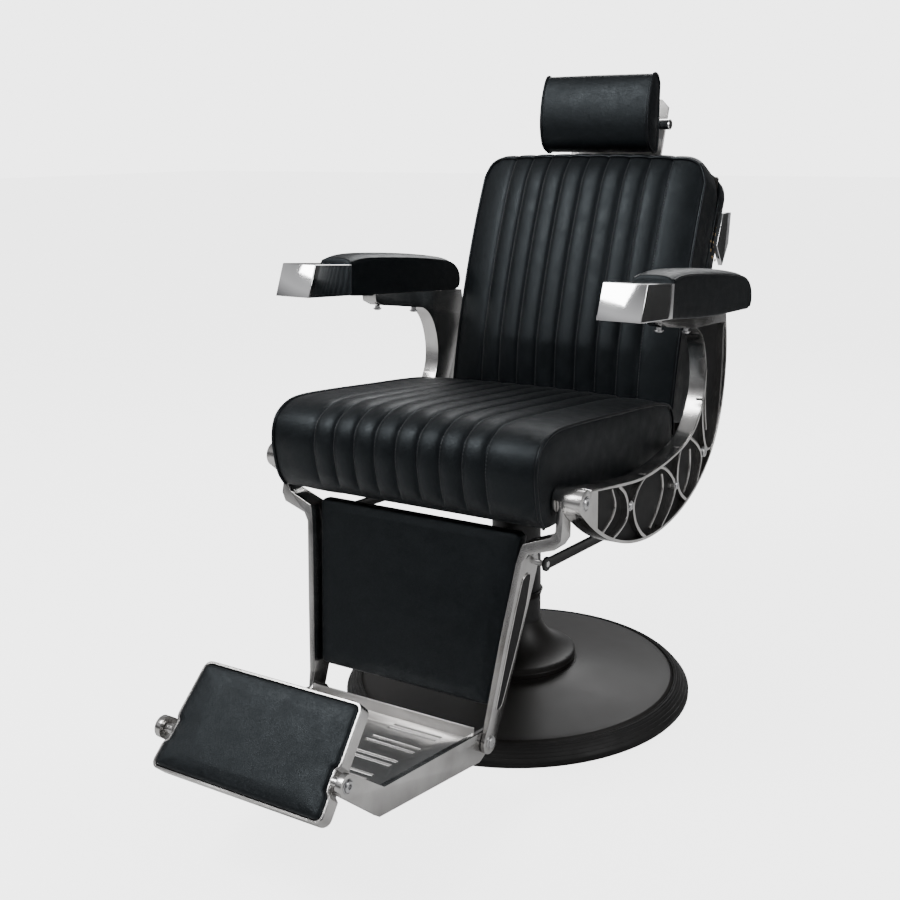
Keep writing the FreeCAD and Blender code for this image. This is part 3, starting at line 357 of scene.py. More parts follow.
# Pump pedal. A plated flat lever on a pin between two ears on the column, with a ribbed
# rubber tread glued to its end, where the barber's foot reaches it.
chrome = shader("mirror_plating", (0.80, 0.80, 0.81), (0.88, 0.88, 0.88), 0.04, 0.11, metal=1.0,
                coarse=9, fine=260, depth=0.00001)
steel = shader("machined_steel", (0.50, 0.50, 0.51), (0.66, 0.66, 0.66), 0.2, 0.34, metal=1.0,
               coarse=30, fine=900, depth=0.00002)
finished("pedal_bracket", 0.0012, powder, "pump", "black_steel")
finished("pedal_pin", 0.0008, steel, "pump", "steel")
finished("pedal_lever", 0.002, chrome, "pedal", "chrome", segments=3)
finished("pedal_pad", 0.003, rubber, "pedal", "ribbed_rubber", segments=3, name="pedal_tread")
press = next(j for j in frame["joints"] if j["name"] == "pedal_press")
out = Vector(press["axis"]).cross((0, 0, 1)).normalized() * -1
low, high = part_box("pedal_pad")
middle = (Vector(low) + Vector(high)) / 2
for rib in range(-3, 4):
    spot = middle + out * (0.0095 * rib)
    bpy.ops.mesh.primitive_cube_add(size=1)
    bar = bpy.context.object
    bar.name = "pedal_rib_%d" % (rib + 4)
    turned = Matrix.Rotation(math.atan2(out.y, out.x), 4, "Z")
    bar.data.transform(Matrix.Translation((spot.x, spot.y, high[2] + 0.0004)) @ turned
                       @ Matrix.Diagonal((0.004, 0.072, 0.0026, 1)))
    ease(bar, 0.0009)
    dress(bar, rubber, "pedal", "ribbed_rubber")

# Steel under the seat. Cross tubes, mounting plate, cranks, link rods and the recline lock,
# all cut and welded from mild steel and powder coated; the piston rod is ground and plated.
for node, width, body in (("mounting_plate", 0.0015, "seat"), ("front_cross_tube", 0.002, "seat"),
                          ("rear_cross_tube", 0.002, "seat"), ("lock_block", 0.0015, "seat"),
                          ("link_cranks", 0.001, "back"), ("hinge_plates", 0.001, "back"),
                          ("link_rods", 0.0012, "links")):
    finished(node, width, powder, body, "black_steel")
paint(powder, "back_bars", "headrest_guide")
paint(steel, "back_shaft", "lock_quadrant", "link_pins", "plate_bolts", "hub_pins",
      "back_pivot_bolts", "frame_screws", "fold_bolts", "pad_pins")
paint(chrome, "piston_rod")

# Boards. Plywood under and behind the upholstery, sawn, sanded and stained black so that
# nothing pale shows between the cushions and the steel below them.
stained = shader("black_stained_plywood", (0.010, 0.009, 0.008), (0.024, 0.020, 0.017), 0.5, 0.7,
                 coarse=26, fine=420, depth=0.00005)
paint(stained, "seat_board", "back_board", "calf_board")

# Leather. Black bovine leather with a fine pebble grain and a satin topcoat; it is cut in
# panels, sewn into channels with black thread and edged with leather piping.


def grain_group():
    """Pebble grain: small closed cells with creases between them."""
    tree, given, result = open_group("hide_grain", ("Cells", "Folds"),
                                     ("Crease", "Cloud", "Height"))
    spot = add(tree, "ShaderNodeTexCoord").outputs["Object"]
    warp = add(tree, "ShaderNodeTexNoise", {"Vector": spot, "Scale": 120})
    bent = add(tree, "ShaderNodeVectorMath", {0: warp.outputs["Color"],
                                              1: (0.004, 0.004, 0.004), 2: spot},
               operation="MULTIPLY_ADD")
    cells = add(tree, "ShaderNodeTexVoronoi", {"Vector": bent.outputs["Vector"],
                                               "Scale": given.outputs["Cells"]},
                feature="DISTANCE_TO_EDGE")
    crease = add(tree, "ShaderNodeMapRange", {"Value": cells.outputs["Distance"],
                                              "From Max": 0.32},
                 interpolation_type="SMOOTHSTEP").outputs["Result"]
    cloud = add(tree, "ShaderNodeTexNoise", {"Vector": spot, "Scale": given.outputs["Folds"],
                                             "Detail": 4}).outputs["Fac"]
    total = add(tree, "ShaderNodeMath", {0: cloud, 1: 2.5, 2: crease}, operation="MULTIPLY_ADD")
    feed(tree, result, {"Crease": crease, "Cloud": cloud, "Height": total.outputs[0]})
    return tree


grain = grain_group()


def hide(name, dark, light, smooth, rough, depth=0.00022):
    """Leather: colour and gloss follow the grain's creases and the hide's clouding."""
    made, tree, surface = blank(name)
    pebble = add(tree, "ShaderNodeGroup", node_tree=grain)
    feed(tree, pebble, {"Cells": 620, "Folds": 38})
    cloud = pebble.outputs["Cloud"]
    mask = add(tree, "ShaderNodeMath", {0: pebble.outputs["Crease"], 1: cloud},
               operation="MULTIPLY")
    tint = add(tree, "ShaderNodeMix", {"Factor": mask.outputs[0], "A": (*dark, 1),
                                       "B": (*light, 1)}, data_type="RGBA")
    gloss = add(tree, "ShaderNodeMapRange", {"Value": cloud, "From Min": 0.35, "From Max": 0.65,
                                             "To Min": smooth, "To Max": rough})
    bump = add(tree, "ShaderNodeBump", {"Height": pebble.outputs["Height"], "Distance": depth,
                                        "Strength": 0.55})
    feed(tree, surface, {"Base Color": tint.outputs["Result"], "Specular IOR Level": 0.27,
                         "Specular Tint": (0.82, 0.93, 1.0, 1), "Sheen Weight": 0.02,
                         "Sheen Roughness": 0.4, "Roughness": gloss.outputs["Result"],
                         "Normal": bump.outputs["Normal"]})
    return made


leather = hide("black_leather", (0.0009, 0.0013, 0.0018), (0.0045, 0.0062, 0.0082), 0.34, 0.46)
piping_leather = hide("piping_leather", (0.002, 0.002, 0.0025), (0.009, 0.0095, 0.011), 0.3, 0.42,
                      depth=0.0001)
# The thread is black; its grey colour here is a painted glint, so that the stitch rows show as
# light dots.
thread = shader("black_thread_painted_grey_glint", (0.014, 0.016, 0.018), (0.060, 0.066, 0.072), 0.34, 0.48,
                coarse=300, fine=2500, depth=0.0001)

# Seat cushion. Foam on the seat board in a leather cover: nine seams make eight narrow
# channels that roll over the front, between two wide side panels, with piped boxed sides.


def curve_through(points, gap):
    """Evenly spaced points on a smooth line through the given ones."""
    fine = []
    padded = [points[0] * 2 - points[1]] + points + [points[-1] * 2 - points[-2]]
    for a, b, c, d in zip(padded, padded[1:], padded[2:], padded[3:]):
        for step in range(24):
            t = step / 24
            fine.append(0.5 * (2 * b + (c - a) * t + (2 * a - 5 * b + 4 * c - d) * t * t
                               + (3 * b - a - 3 * c + d) * t ** 3))
    fine.append(points[-1])
    length = sum((q - p).length for p, q in zip(fine, fine[1:]))
    count = max(2, round(length / gap))
    spaced, walked, target = [fine[0]], 0.0, 1
    for p, q in zip(fine, fine[1:]):
        step = (q - p).length
        while target < count and walked + step >= target * length / count:
            spaced.append(p.lerp(q, (target * length / count - walked) / max(step, 1e-9)))
            target += 1
        walked += step
    spaced.append(fine[-1])
    return spaced


def between(rings):
    """Faces that join rings of equal count, one after the other."""
    count = len(rings[0])
    return [(i * count + j, i * count + (j + 1) % count, (i + 1) * count + (j + 1) % count,
             (i + 1) * count + j) for i in range(len(rings) - 1) for j in range(count)]


def skin(name, rings):
    """A closed, smooth skin over rings of equal count, with flat ends."""
    piece = built(name, [p for ring in rings for p in ring], between(rings))
    edit(piece, weld(0.00005), (bpy.ops.mesh.fill_holes, dict(sides=0)), outward,
         (bpy.ops.mesh.select_face_by_sides, dict(number=4, type="GREATER", extend=False)),
         (bpy.ops.mesh.quads_convert_to_tris, dict(ngon_method="BEAUTY")))
    for face in piece.data.polygons:
        face.use_smooth = True
    return piece


def near(piece, points):
    """The vertices of a piece that lie on any of the given points."""
    reach = 0.0004
    tree = KDTree(len(points))
    for i, point in enumerate(points):
        tree.insert(point, i)
    tree.balance()
    return [v.index for v in piece.data.vertices if tree.find(v.co)[2] < reach]


def inflate(piece, sewn, pressure, cap):
    """Cloth under air pressure, held at its seams, with no point moving past the cap."""
    stretch, last_frame = 30.0, 20
    start = [v.co.copy() for v in piece.data.vertices]
    only(piece)
    held = piece.vertex_groups.new(name="sewn")
    held.add(sewn, 1.0, "REPLACE")
    cloth = piece.modifiers.new("cloth", "CLOTH")
    cloth.settings.quality = 6
    cloth.settings.mass = 0.3
    cloth.settings.tension_stiffness = stretch
    cloth.settings.compression_stiffness = stretch
    cloth.settings.shear_stiffness = stretch / 3
    cloth.settings.bending_stiffness = 6.0
    cloth.settings.use_pressure = True
    cloth.settings.uniform_pressure_force = pressure
    cloth.settings.vertex_group_mass = "sewn"
    cloth.settings.effector_weights.gravity = 0
    cloth.point_cache.frame_start = 1
    cloth.point_cache.frame_end = last_frame
    for number in range(1, last_frame + 1):
        bpy.context.scene.frame_set(number)
    bpy.ops.object.modifier_apply(modifier=cloth.name)
    bpy.context.scene.frame_set(1)
    for vertex, home in zip(piece.data.vertices, start):
        move = vertex.co - home
        if move.length > cap:
            vertex.co = home + move * (cap / move.length)
    piece.vertex_groups.clear()


def cord_along(name, points, radius, loop=False, sides=4):
    """A round cord with its ends closed, as a mesh."""
    curve = bpy.data.curves.new(name, "CURVE")
    curve.dimensions = "3D"
    curve.bevel_depth = radius
    curve.bevel_resolution = sides
    curve.use_fill_caps = True
    line = curve.splines.new("POLY")
    line.points.add(len(points) - 1)
    for point, spot in zip(line.points, points):
        point.co = (*spot, 1)
    line.use_cyclic_u = loop
    piece = bpy.data.objects.new(name, curve)
    bpy.context.scene.collection.objects.link(piece)
    only(piece)
    bpy.ops.object.convert(target="MESH")
    piece = bpy.context.object
    for face in piece.data.polygons:
        face.use_smooth = True
    return piece


def surface_of(piece):
    """A piece's faces, arranged for finding the nearest place on them."""
    mesh = piece.data
    return BVHTree.FromPolygons([v.co for v in mesh.vertices],
                                [tuple(face.vertices) for face in mesh.polygons])


def laid_on(piece, points, rise):
    """The points brought onto a piece's surface and lifted a little from it."""
    surface = surface_of(piece)
    found = [surface.find_nearest(point)[:2] for point in points]
    return [spot + normal * rise for spot, normal in found]


stitch_faces = between([range(4)] * 4) + [(0, 1, 2, 3), (15, 14, 13, 12)]
stitch_gap, stitch_side = 0.0062, 0.0024
stitch_long, stitch_wide, stitch_tall = 0.0037, 0.0016, 0.0009


def stitched(name, piece, lines):
    """Raised stitches on a piece's surface, in rows a little to one side of its seams."""
    surface = surface_of(piece)
    verts, faces = [], []
    for line in lines:
        spots = [surface.find_nearest(Vector((p.x + stitch_side, p.y, p.z)))[:2]
                 for p in curve_through(line, stitch_gap)]
        for (a, normal), (b, _) in zip(spots, spots[1:]):
            run = b - a
            if run.length < 1e-5:
                continue
            run.normalize()
            side = run.cross(normal).normalized() * stitch_wide / 2
            rise = normal * stitch_tall
            first = len(verts)
            for along, wide, tall in ((0, 0.5, 0.1), (0.25, 1, 0.9), (0.75, 1, 0.9), (1, 0.5, 0.1)):
                spot = a + run * (stitch_long * along)
                verts += [spot - side * wide, spot + rise * tall, spot + side * wide, spot - rise]
            faces += [tuple(first + corner for corner in face) for face in stitch_faces]
    stitches = built(name, verts, faces)
    edit(stitches, outward)
    return stitches


def channel_columns(pitch, seams, edge):
    """Places across a channelled panel: seams, tight pairs beside them, and the puffs."""
    tight, steps = 0.0016, 6
    marks = [pitch * (i - (seams - 1) / 2) for i in range(seams)]
    places = []
    for a, b in zip(marks, marks[1:]):
        places += [a, a + tight]
        places += [a + (b - a) * i / steps for i in range(1, steps)]
        places.append(b - tight)
    places.append(marks[-1])
    wide = [marks[-1] + tight]
    wide += [marks[-1] + (edge - marks[-1]) * i / 9 for i in range(1, 10)]
    return [-x for x in reversed(wide)] + places + wide, marks


def puff(x, seams, edge, tall=0.0034):
    """How far the foam rises at x, between the two nearest seams or edges."""
    marks = [-edge] + seams + [edge]
    for a, b in zip(marks, marks[1:]):
        if a <= x <= b:
            return tall * (1 - ((2 * x - a - b) / (b - a)) ** 2)
    return 0.0


def sunk(away):
    """How deep a seam pulls the leather in, by the distance from its line."""
    return 0.0034 if away < 0.0012 else 0.0015 if away < 0.0026 else 0.0


seat_edge, seam_foot = 0.2615, 0.492
seat_side = [Vector((0, y, z)) for y, z in (
    (0.136, 0.4900), (0.1405, 0.520), (0.137, 0.553), (0.118, 0.5765), (0.075, 0.588),
    (0.0, 0.5975), (-0.10, 0.6065), (-0.22, 0.6175), (-0.31, 0.6235), (-0.350, 0.6185),
    (-0.3795, 0.600), (-0.3905, 0.568), (-0.3878, 0.532), (-0.3800, 0.498), (-0.3650, 0.4745))]
seat_line = curve_through(seat_side, 0.0075)
floor_line = curve_through([seat_side[-1], Vector((0, -0.335, 0.4708)), Vector((0, -0.1, 0.4706)),
                            Vector((0, 0.085, 0.4706)), seat_side[0]], 0.012)
seat_loop = seat_line + floor_line[1:-1]
top_count = len(seat_line)
seat_columns, seat_seams = channel_columns(0.0425, 9, seat_edge)
seat_spine = (Vector((0, -0.315, 0.556)), Vector((0, 0.075, 0.535)))


def toward(point, spine, share):
    """A point drawn in toward the nearest place on a straight spine."""
    axis = spine[1] - spine[0]
    t = max(0.0, min(1.0, (point - spine[0]).dot(axis) / axis.length_squared))
    return point.lerp(spine[0] + axis * t, share)


def closed(rings, loop, spine, ends, shares, swell=lambda share: 0.0):
    """The rings across a cushion, with a side at each end drawn in toward its spine."""
    low, high = [[[Vector((x + way * swell(share), *toward(p, spine, share).yz)) for p in loop]
                  for share in shares] for x, way in zip(ends, (-1, 1))]
    return low + rings + high[::-1]


def seat_ring(x):
    """The seat's side line at x, raised by the crown of the foam between its sides."""
    crown = 0.006 * (1 - (x / seat_edge) ** 2) + puff(x, seat_seams, seat_edge)
    ring = []
    for j, point in enumerate(seat_loop):
        lift = crown * min(1.0, j / 14, (top_count - 1 - j) / 6) if j < top_count else 0.0
        away = (point - toward(point, seat_spine, 1.0)).normalized()
        ring.append(Vector((x, point.y, point.z)) + away * max(0.0, lift))
    return ring


seat_rings = closed([seat_ring(x) for x in seat_columns], seat_loop, seat_spine,
                    (-seat_edge, seat_edge), (0.94, 0.8, 0.64, 0.46, 0.30, 0.16, 0.06),
                    lambda share: 0.0025 * min(1.0, share * 3))
seat = skin("seat_leather", seat_rings)
sewn_spots = [p for x in seat_seams for p in seat_ring(x)[:top_count]]
for x in (-seat_edge, seat_edge):
    sewn_spots += seat_ring(x)
sewn_spots += [p for x in seat_columns for p in seat_ring(x)[top_count:]]
sewn_spots += [p for x in seat_columns for p in seat_ring(x)[:5]]
sewn_spots += [p for ring in seat_rings[:3] + seat_rings[-3:] for p in ring]
inflate(seat, near(seat, sewn_spots), pressure=5.0, cap=0.007)
for vertex in seat.data.vertices:
    for x in seat_seams:
        away = abs(vertex.co.x - x)
        if sunk(away) and vertex.co.z > seam_foot:
            centre = toward(Vector((0, *vertex.co.yz)), seat_spine, 1.0)
            inward = Vector((0, centre.y - vertex.co.y, centre.z - vertex.co.z)).normalized()
            vertex.co += inward * sunk(away)
modify(seat, "SUBSURF", levels=1, render_levels=1)
dress(seat, leather, "seat", "leather", "seat_cushion")

piping_radius = 0.0031
for side, label in ((-1, "right"), (1, "left")):
    loop = []
    for p in seat_line:
        flat = Vector((0, *p.yz))
        away = (flat - toward(flat, seat_spine, 1.0)).normalized()
        loop.append(Vector((side * (seat_edge + 0.0012), p.y, p.z)) + away * 0.0016)
    dress(cord_along("seat_piping_" + label, laid_on(seat, loop, 0.0012), piping_radius),
          piping_leather, "seat", "leather")
seat_lines = [seat_ring(x)[8:top_count - 2] for x in seat_seams]
dress(stitched("seat_stitches", seat, seat_lines), thread, "seat", "leather")

# Side frames. Each is one sand casting in aluminium, polished on its broad rim; hoops of
# cast rib cross a black panel set into it, and it is screwed to the cross tubes.
cast = shader("polished_casting", (0.46, 0.45, 0.44), (0.66, 0.65, 0.64), 0.14, 0.27, metal=1.0,
              coarse=16, fine=520, depth=0.00004)
matt_black = shader("black_panel_paint", (0.003, 0.003, 0.003), (0.008, 0.008, 0.0085), 0.5, 0.62,
                    coarse=18, fine=800, depth=0.00004, level=0.25)


def both_sides(piece, material, body, slot, *replaced):
    """Dresses a left-hand piece and its mirror image; replaced names end in a side."""
    twin = piece.copy()
    twin.data = piece.data.copy()
    bpy.context.scene.collection.objects.link(twin)
    twin.data.transform(Matrix.Diagonal((-1, 1, 1, 1)))
    twin.data.flip_normals()
    stem = piece.name
    for one, side in ((piece, "left"), (twin, "right")):
        one.name = stem + "_" + side
        dress(one, material, body, slot, *[node.replace("SIDE", side) for node in replaced])


def capped(name, rings):
    """A bar over rings of equal count, with flat ends."""
    count = len(rings[0])
    last = count * (len(rings) - 1)
    ends = [tuple(range(count)), tuple(range(last + count - 1, last - 1, -1))]
    piece = built(name, [p for ring in rings for p in ring], between(rings) + ends)
    edit(piece, outward)
    return piece


def strip(name, points, width, x_low, x_high):
    """A rib of even width along a line in Y and Z, standing from x_low to x_high."""
    rings = []
    for i, p in enumerate(points):
        a, b = points[max(0, i - 1)], points[min(len(points) - 1, i + 1)]
        run = (b - a).normalized()
        side = Vector((0, -run.z, run.y)) * width / 2
        l, r = p + side, p - side
        rings.append([Vector((x, *q.yz)) for x, q in (
            (x_low, l), (x_high - 0.0008, l), (x_high, l.lerp(r, 0.18)),
            (x_high, r.lerp(l, 0.18)), (x_high - 0.0008, r), (x_low, r))])
    piece = capped(name, rings)
    smooth(piece)
    return piece


def joined(name, *pieces):
    bpy.ops.object.select_all(action="DESELECT")
    for piece in pieces:
        piece.select_set(True)
    bpy.context.view_layer.objects.active = pieces[0]
    bpy.ops.object.join()
    pieces[0].name = name
    return pieces[0]


def both(stem, width, material, body, slot):
    """Finishes the left and the right one of a pair of CAD parts."""
    for side in ("left", "right"):
        finished(stem + "_" + side, width, material, body, slot, segments=3)


frame_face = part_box("side_frame_left")[1][0]
panel_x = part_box("side_panel_left")[1][0]
both("side_frame", 0.0016, cast, "seat", "cast_aluminium")
paint(matt_black, "side_panel_left", "side_panel_right")
hoops = (
    ((-0.205, 0.511), (-0.182, 0.493), (-0.170, 0.470), (-0.174, 0.447), (-0.198, 0.434),
     (-0.226, 0.428)),
    ((-0.097, 0.503), (-0.126, 0.489), (-0.146, 0.464), (-0.138, 0.432), (-0.116, 0.406),
     (-0.095, 0.391)),
    ((-0.097, 0.503), (-0.036, 0.503), (0.008, 0.480), (0.033, 0.449), (0.014, 0.418),
     (-0.027, 0.391)),
    ((0.056, 0.518), (0.045, 0.490), (0.044, 0.455), (0.061, 0.429), (0.093, 0.407)),
    ((0.097, 0.528), (0.134, 0.506), (0.158, 0.481), (0.150, 0.452), (0.131, 0.421)),
    ((0.155, 0.590), (0.160, 0.540), (0.176, 0.496), (0.196, 0.484), (0.219, 0.500),
     (0.241, 0.550), (0.252, 0.640), (0.252, 0.716)))
inner_ribs = (((-0.217, 0.508), (-0.203, 0.479), (-0.213, 0.459), (-0.252, 0.441)),
              ((-0.012, 0.484), (-0.006, 0.455), (-0.026, 0.422), (-0.060, 0.396)),
              ((0.118, 0.500), (0.121, 0.470), (0.112, 0.443), (0.092, 0.421)),
              ((0.190, 0.640), (0.188, 0.575), (0.197, 0.520)))
ribs = []
for shapes, width, top in ((hoops, 0.0064, frame_face - 0.0006),
                           (inner_ribs, 0.0030, panel_x + 0.005)):
    for points in shapes:
        line = curve_through([Vector((0, y, z)) for y, z in points], 0.006)
        ribs.append(strip("rib", line, width, panel_x - 0.001, top))
both_sides(joined("frame_hoops", *ribs), cast, "seat", "cast_aluminium")

# Socket screws. Plated cap screws sunk in turned seats hold the frames, the hubs, the fold
# bolts and the foot pad's pins; each has a domed rim, a hexagonal socket and its washer.


def socket_screw(name, x, y, z, radius, tall=0.003, seat=True):
    """A cap screw that faces +X, with a hexagonal socket in its head."""
    hexagon = radius * 0.52
    bpy.ops.mesh.primitive_circle_add(vertices=36, radius=radius, fill_type="NGON")
    head = bpy.context.object
    head.name = name
    only(head)
    bpy.ops.object.mode_set(mode="EDIT")
    bpy.ops.mesh.select_all(action="SELECT")
    bpy.ops.mesh.extrude_region_move(TRANSFORM_OT_translate={"value": (0, 0, tall * 0.7)})
    bpy.ops.mesh.inset(thickness=radius * 0.12, depth=0)
    bpy.ops.transform.translate(value=(0, 0, tall * 0.3))
    bpy.ops.mesh.inset(thickness=radius * 0.88 - hexagon, depth=0)
    bpy.ops.mesh.extrude_region_move(TRANSFORM_OT_translate={"value": (0, 0, -tall * 0.8)})
    bpy.ops.mesh.select_all(action="SELECT")
    bpy.ops.mesh.normals_make_consistent(inside=False)
    bpy.ops.object.mode_set(mode="OBJECT")
    for vertex in head.data.vertices:
        flat_radius = math.hypot(vertex.co.x, vertex.co.y)
        if flat_radius < hexagon * 1.02:
            angle = math.atan2(vertex.co.y, vertex.co.x)
            wedge = (angle % (math.pi / 3)) - math.pi / 6
            reach = hexagon * math.cos(math.pi / 6) / math.cos(wedge)
            vertex.co.x, vertex.co.y = reach * math.cos(angle), reach * math.sin(angle)
    pieces = [head]
    if seat:
        bpy.ops.mesh.primitive_torus_add(major_radius=radius * 1.16, minor_radius=radius * 0.13,
                                         major_segments=36, minor_segments=8)
        pieces.append(bpy.context.object)
    screw = joined(name, *pieces)
    turn = Matrix(((0, 0, 1, 0), (1, 0, 0, 0), (0, 1, 0, 0), (0, 0, 0, 1)))
    screw.data.transform(Matrix.Translation((x, y, z)) @ turn)
    smooth(screw)
    return screw


hub_y, hub_z = hinge["leg_rest_swing"].yz
for name, sunk_in, y, z, radius, tall in (
        ("front_frame_screw", 0.0006, -0.162, 0.466, 0.0068, 0.003),
        ("rear_frame_screw", 0.0006, 0.035, 0.452, 0.0068, 0.003),
        ("back_pivot_screw", 0.0006, 0.165, 0.485, 0.0085, 0.0035),
        ("hub_screw", 0.0004, hub_y, hub_z, 0.0095, 0.003)):
    both_sides(socket_screw(name, frame_face - sunk_in, y, z, radius, tall), steel, "seat",
               "steel")
for name, y, z in (("arm_screw_front", -0.025, 0.7420), ("arm_screw_rear", 0.098, 0.7228)):
    screw = socket_screw(name, 0, 0, 0, 0.0065, 0.003)
    screw.data.transform(Matrix.Translation((0.2996, y, z)) @ Matrix.Rotation(math.pi / 2, 4, "Y"))
    both_sides(screw, steel, "seat", "steel")

# Arm rests. A mirror-plated sheet-metal box closes the front of each arm; behind it a foam
# pad, crowned along the arm, is covered in leather with a sewn edge along both sides.
both("arm_cap", 0.0016, chrome, "seat", "chrome")
arm_low, arm_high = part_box("arm_pad_left")
arm_top = curve_through([Vector((0, y, z)) for y, z in (
    (-0.1185, 0.8385), (-0.085, 0.8425), (-0.03, 0.8405), (0.099, 0.8285), (0.19, 0.8165),
    (0.232, 0.8065), (0.2555, 0.789), (0.2605, 0.767), (0.252, 0.7525))], 0.006)
arm_base = curve_through([Vector((0, 0.245, 0.7503)), Vector((0, 0.05, 0.7602)),
                          Vector((0, -0.119, 0.7772))], 0.012)
arm_front = curve_through([arm_base[-1], Vector((0, -0.119, 0.808)), arm_top[0]], 0.008)
arm_loop = arm_top + arm_base[:-1] + arm_front[:-1]
arm_spine = (Vector((0, -0.095, 0.806)), Vector((0, 0.225, 0.778)))
arm_x0, arm_x1 = arm_low[0] + 0.0015, arm_high[0] - 0.0015


arm_rings = []
for step in range(17):
    part = step / 16
    x = arm_x0 + (arm_x1 - arm_x0) * part
    crown = 0.009 * (1 - (2 * part - 1) ** 4)
    ring = []
    for j, p in enumerate(arm_loop):
        rise = crown * min(1.0, (len(arm_top) - 1 - j) / 6) if j < len(arm_top) else 0.0
        ring.append(Vector((x, p.y, p.z + max(0.0, rise))))
    arm_rings.append(ring)
arm_rings = closed(arm_rings, arm_loop, arm_spine, (arm_x0, arm_x1),
                   (0.93, 0.75, 0.5, 0.28, 0.12))
arm_pad = skin("arm_leather", arm_rings)
held = arm_rings[5] + arm_rings[-6]
held += [p for ring in arm_rings[5:-5] for p in ring[len(arm_top):]]
held += [ring[0] for ring in arm_rings]
held += [p for ring in arm_rings[:3] + arm_rings[-3:] for p in ring]
inflate(arm_pad, near(arm_pad, held), pressure=1.5, cap=0.0015)
modify(arm_pad, "SUBSURF", levels=1, render_levels=1)
both_sides(arm_pad, leather, "seat", "leather", "arm_pad_SIDE")
for x, label in ((arm_x0 + 0.0006, "inner"), (arm_x1 - 0.0006, "outer")):
    pad = bpy.data.objects["arm_leather_left"]
    edge = laid_on(pad, [Vector((x, p.y, p.z + 0.002)) for p in arm_top[1:]], 0.0002)
    cord = cord_along("arm_seam_" + label, edge, 0.0017)
    both_sides(cord, piping_leather, "seat", "leather")

# Back rest. Crowned foam on a plywood board, channelled like the seat from its foot to its
# top edge; piping runs round the front, and a boxed border wraps over to the rear cover.
foot_y, foot_z = 0.150, 0.500
lean = math.radians(9)
curve_radius = 1.805
centre_y = foot_y + curve_radius * math.cos(lean)
centre_z = foot_z - curve_radius * math.sin(lean)
length, depth = 0.560, 0.0876
crown = 0.036
back_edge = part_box("back_cushion")[1][0] - 0.003
back_columns, back_seams = channel_columns(0.044, 9, back_edge)


def on_back(x, deep, run):
    angle = lean + run / curve_radius
    reach = curve_radius - deep
    return Vector((x, centre_y - reach * math.cos(angle), centre_z + reach * math.sin(angle)))


def back_top(x):
    """How far up the back reaches at x: level, with rounded upper corners."""
    corner = 0.045
    over = abs(x) - (back_edge - corner)
    return length + 0.006 - (corner - math.sqrt(max(0, corner ** 2 - over ** 2)) if over > 0 else 0)


def back_ring(x):
    """Front face from foot to top, over the top edge, down the rear and under the foot."""
    bulge = crown * (1 - (abs(x) / back_edge) ** 2.2) + puff(x, back_seams, back_edge)
    top = back_top(x)
    ring = []
    for step in range(62):
        part = step / 61
        run = 0.038 + part * (top - 0.038 - 0.010)
        taper = min(1.0, 0.45 + 2.2 * part) * (1 - 0.55 * max(0.0, (part - 0.86) / 0.14) ** 2)
        ring.append(on_back(x, 0.004 - bulge * taper, run))
    at_top = 0.004 - bulge * 0.45
    for part in (0.12, 0.35, 0.65, 1.0):
        deep = at_top + (depth - at_top) * part
        ring.append(on_back(x, deep, top - (0.004 if part < 1 else 0.006)))
    for part in (0.15, 0.35, 0.55, 0.75, 0.9, 1.0):
        ring.append(on_back(x, depth, (top - 0.006) * (1 - part) + 0.034 * part))
    for part in (0.33, 0.66):
        deep = depth + (0.004 - bulge * 0.45 - depth) * part
        ring.append(on_back(x, deep, 0.034))
    return ring


def back_side(x, share):
    """The closed sides: a ring drawn in toward its own middle line."""
    drawn_in = []
    for p in back_ring(x):
        y, z = p.y - centre_y, p.z - centre_z
        run = (math.atan2(z, -y) - lean) * curve_radius
        deep = curve_radius - math.hypot(y, z)
        middle = max(0.075, min(0.47, run))
        drawn_in.append(on_back(x, deep + (0.042 - deep) * share, run + (middle - run) * share))
    return drawn_in


side_shares = (0.93, 0.78, 0.6, 0.4, 0.22, 0.09)
back_rings = [back_side(-back_edge, share) for share in side_shares]
back_rings += [back_ring(x) for x in back_columns]
back_rings += [back_side(back_edge, share) for share in reversed(side_shares)]
back = skin("back_leather", back_rings)
held = back_ring(-back_edge) + back_ring(back_edge)
held += [p for x in back_seams for p in back_ring(x)[:64]]
held += [p for x in back_columns for p in back_ring(x)[65:] + back_ring(x)[:1]]
held += [p for ring in back_rings[:2] + back_rings[-2:] for p in ring]
inflate(back, near(back, held), pressure=4.0, cap=0.0045)
for vertex in back.data.vertices:
    for x in back_seams:
        if sunk(abs(vertex.co.x - x)):
            y, z = vertex.co.y - centre_y, vertex.co.z - centre_z
            deep = curve_radius - math.hypot(y, z)
            if deep < depth * 0.6:
                vertex.co -= Vector((0, y, z)).normalized() * sunk(abs(vertex.co.x - x))
modify(back, "SUBSURF", levels=1, render_levels=1)
dress(back, leather, "back", "leather", "back_cushion")

edge_line = [back_ring(-back_edge)[i] for i in range(0, 58, 3)]
edge_line += [back_ring(back_edge * (step / 20 - 1))[60] for step in range(41)]
edge_line += [back_ring(back_edge)[i] for i in range(57, -1, -3)]
edge_line = curve_through([Vector((p.x * 1.003, p.y + 0.001, p.z + 0.0005)) for p in edge_line],
                          0.008)
dress(cord_along("back_piping", laid_on(back, edge_line, 0.0012), piping_radius),
      piping_leather, "back", "leather")
back_lines = [back_ring(x)[2:62] for x in back_seams]
dress(stitched("back_stitches", back, back_lines), thread, "back", "leather")

# Back cover. Leather over a moulded plywood shell closes the rear of the back; its border
# meets the cushion's at a piped seam, and the head rest's plate comes out through its top.
cover_edge, cover_rear, cover_foot = back_edge, 0.1375, 0.034
cover_round, cover_corner = 0.020, 0.045


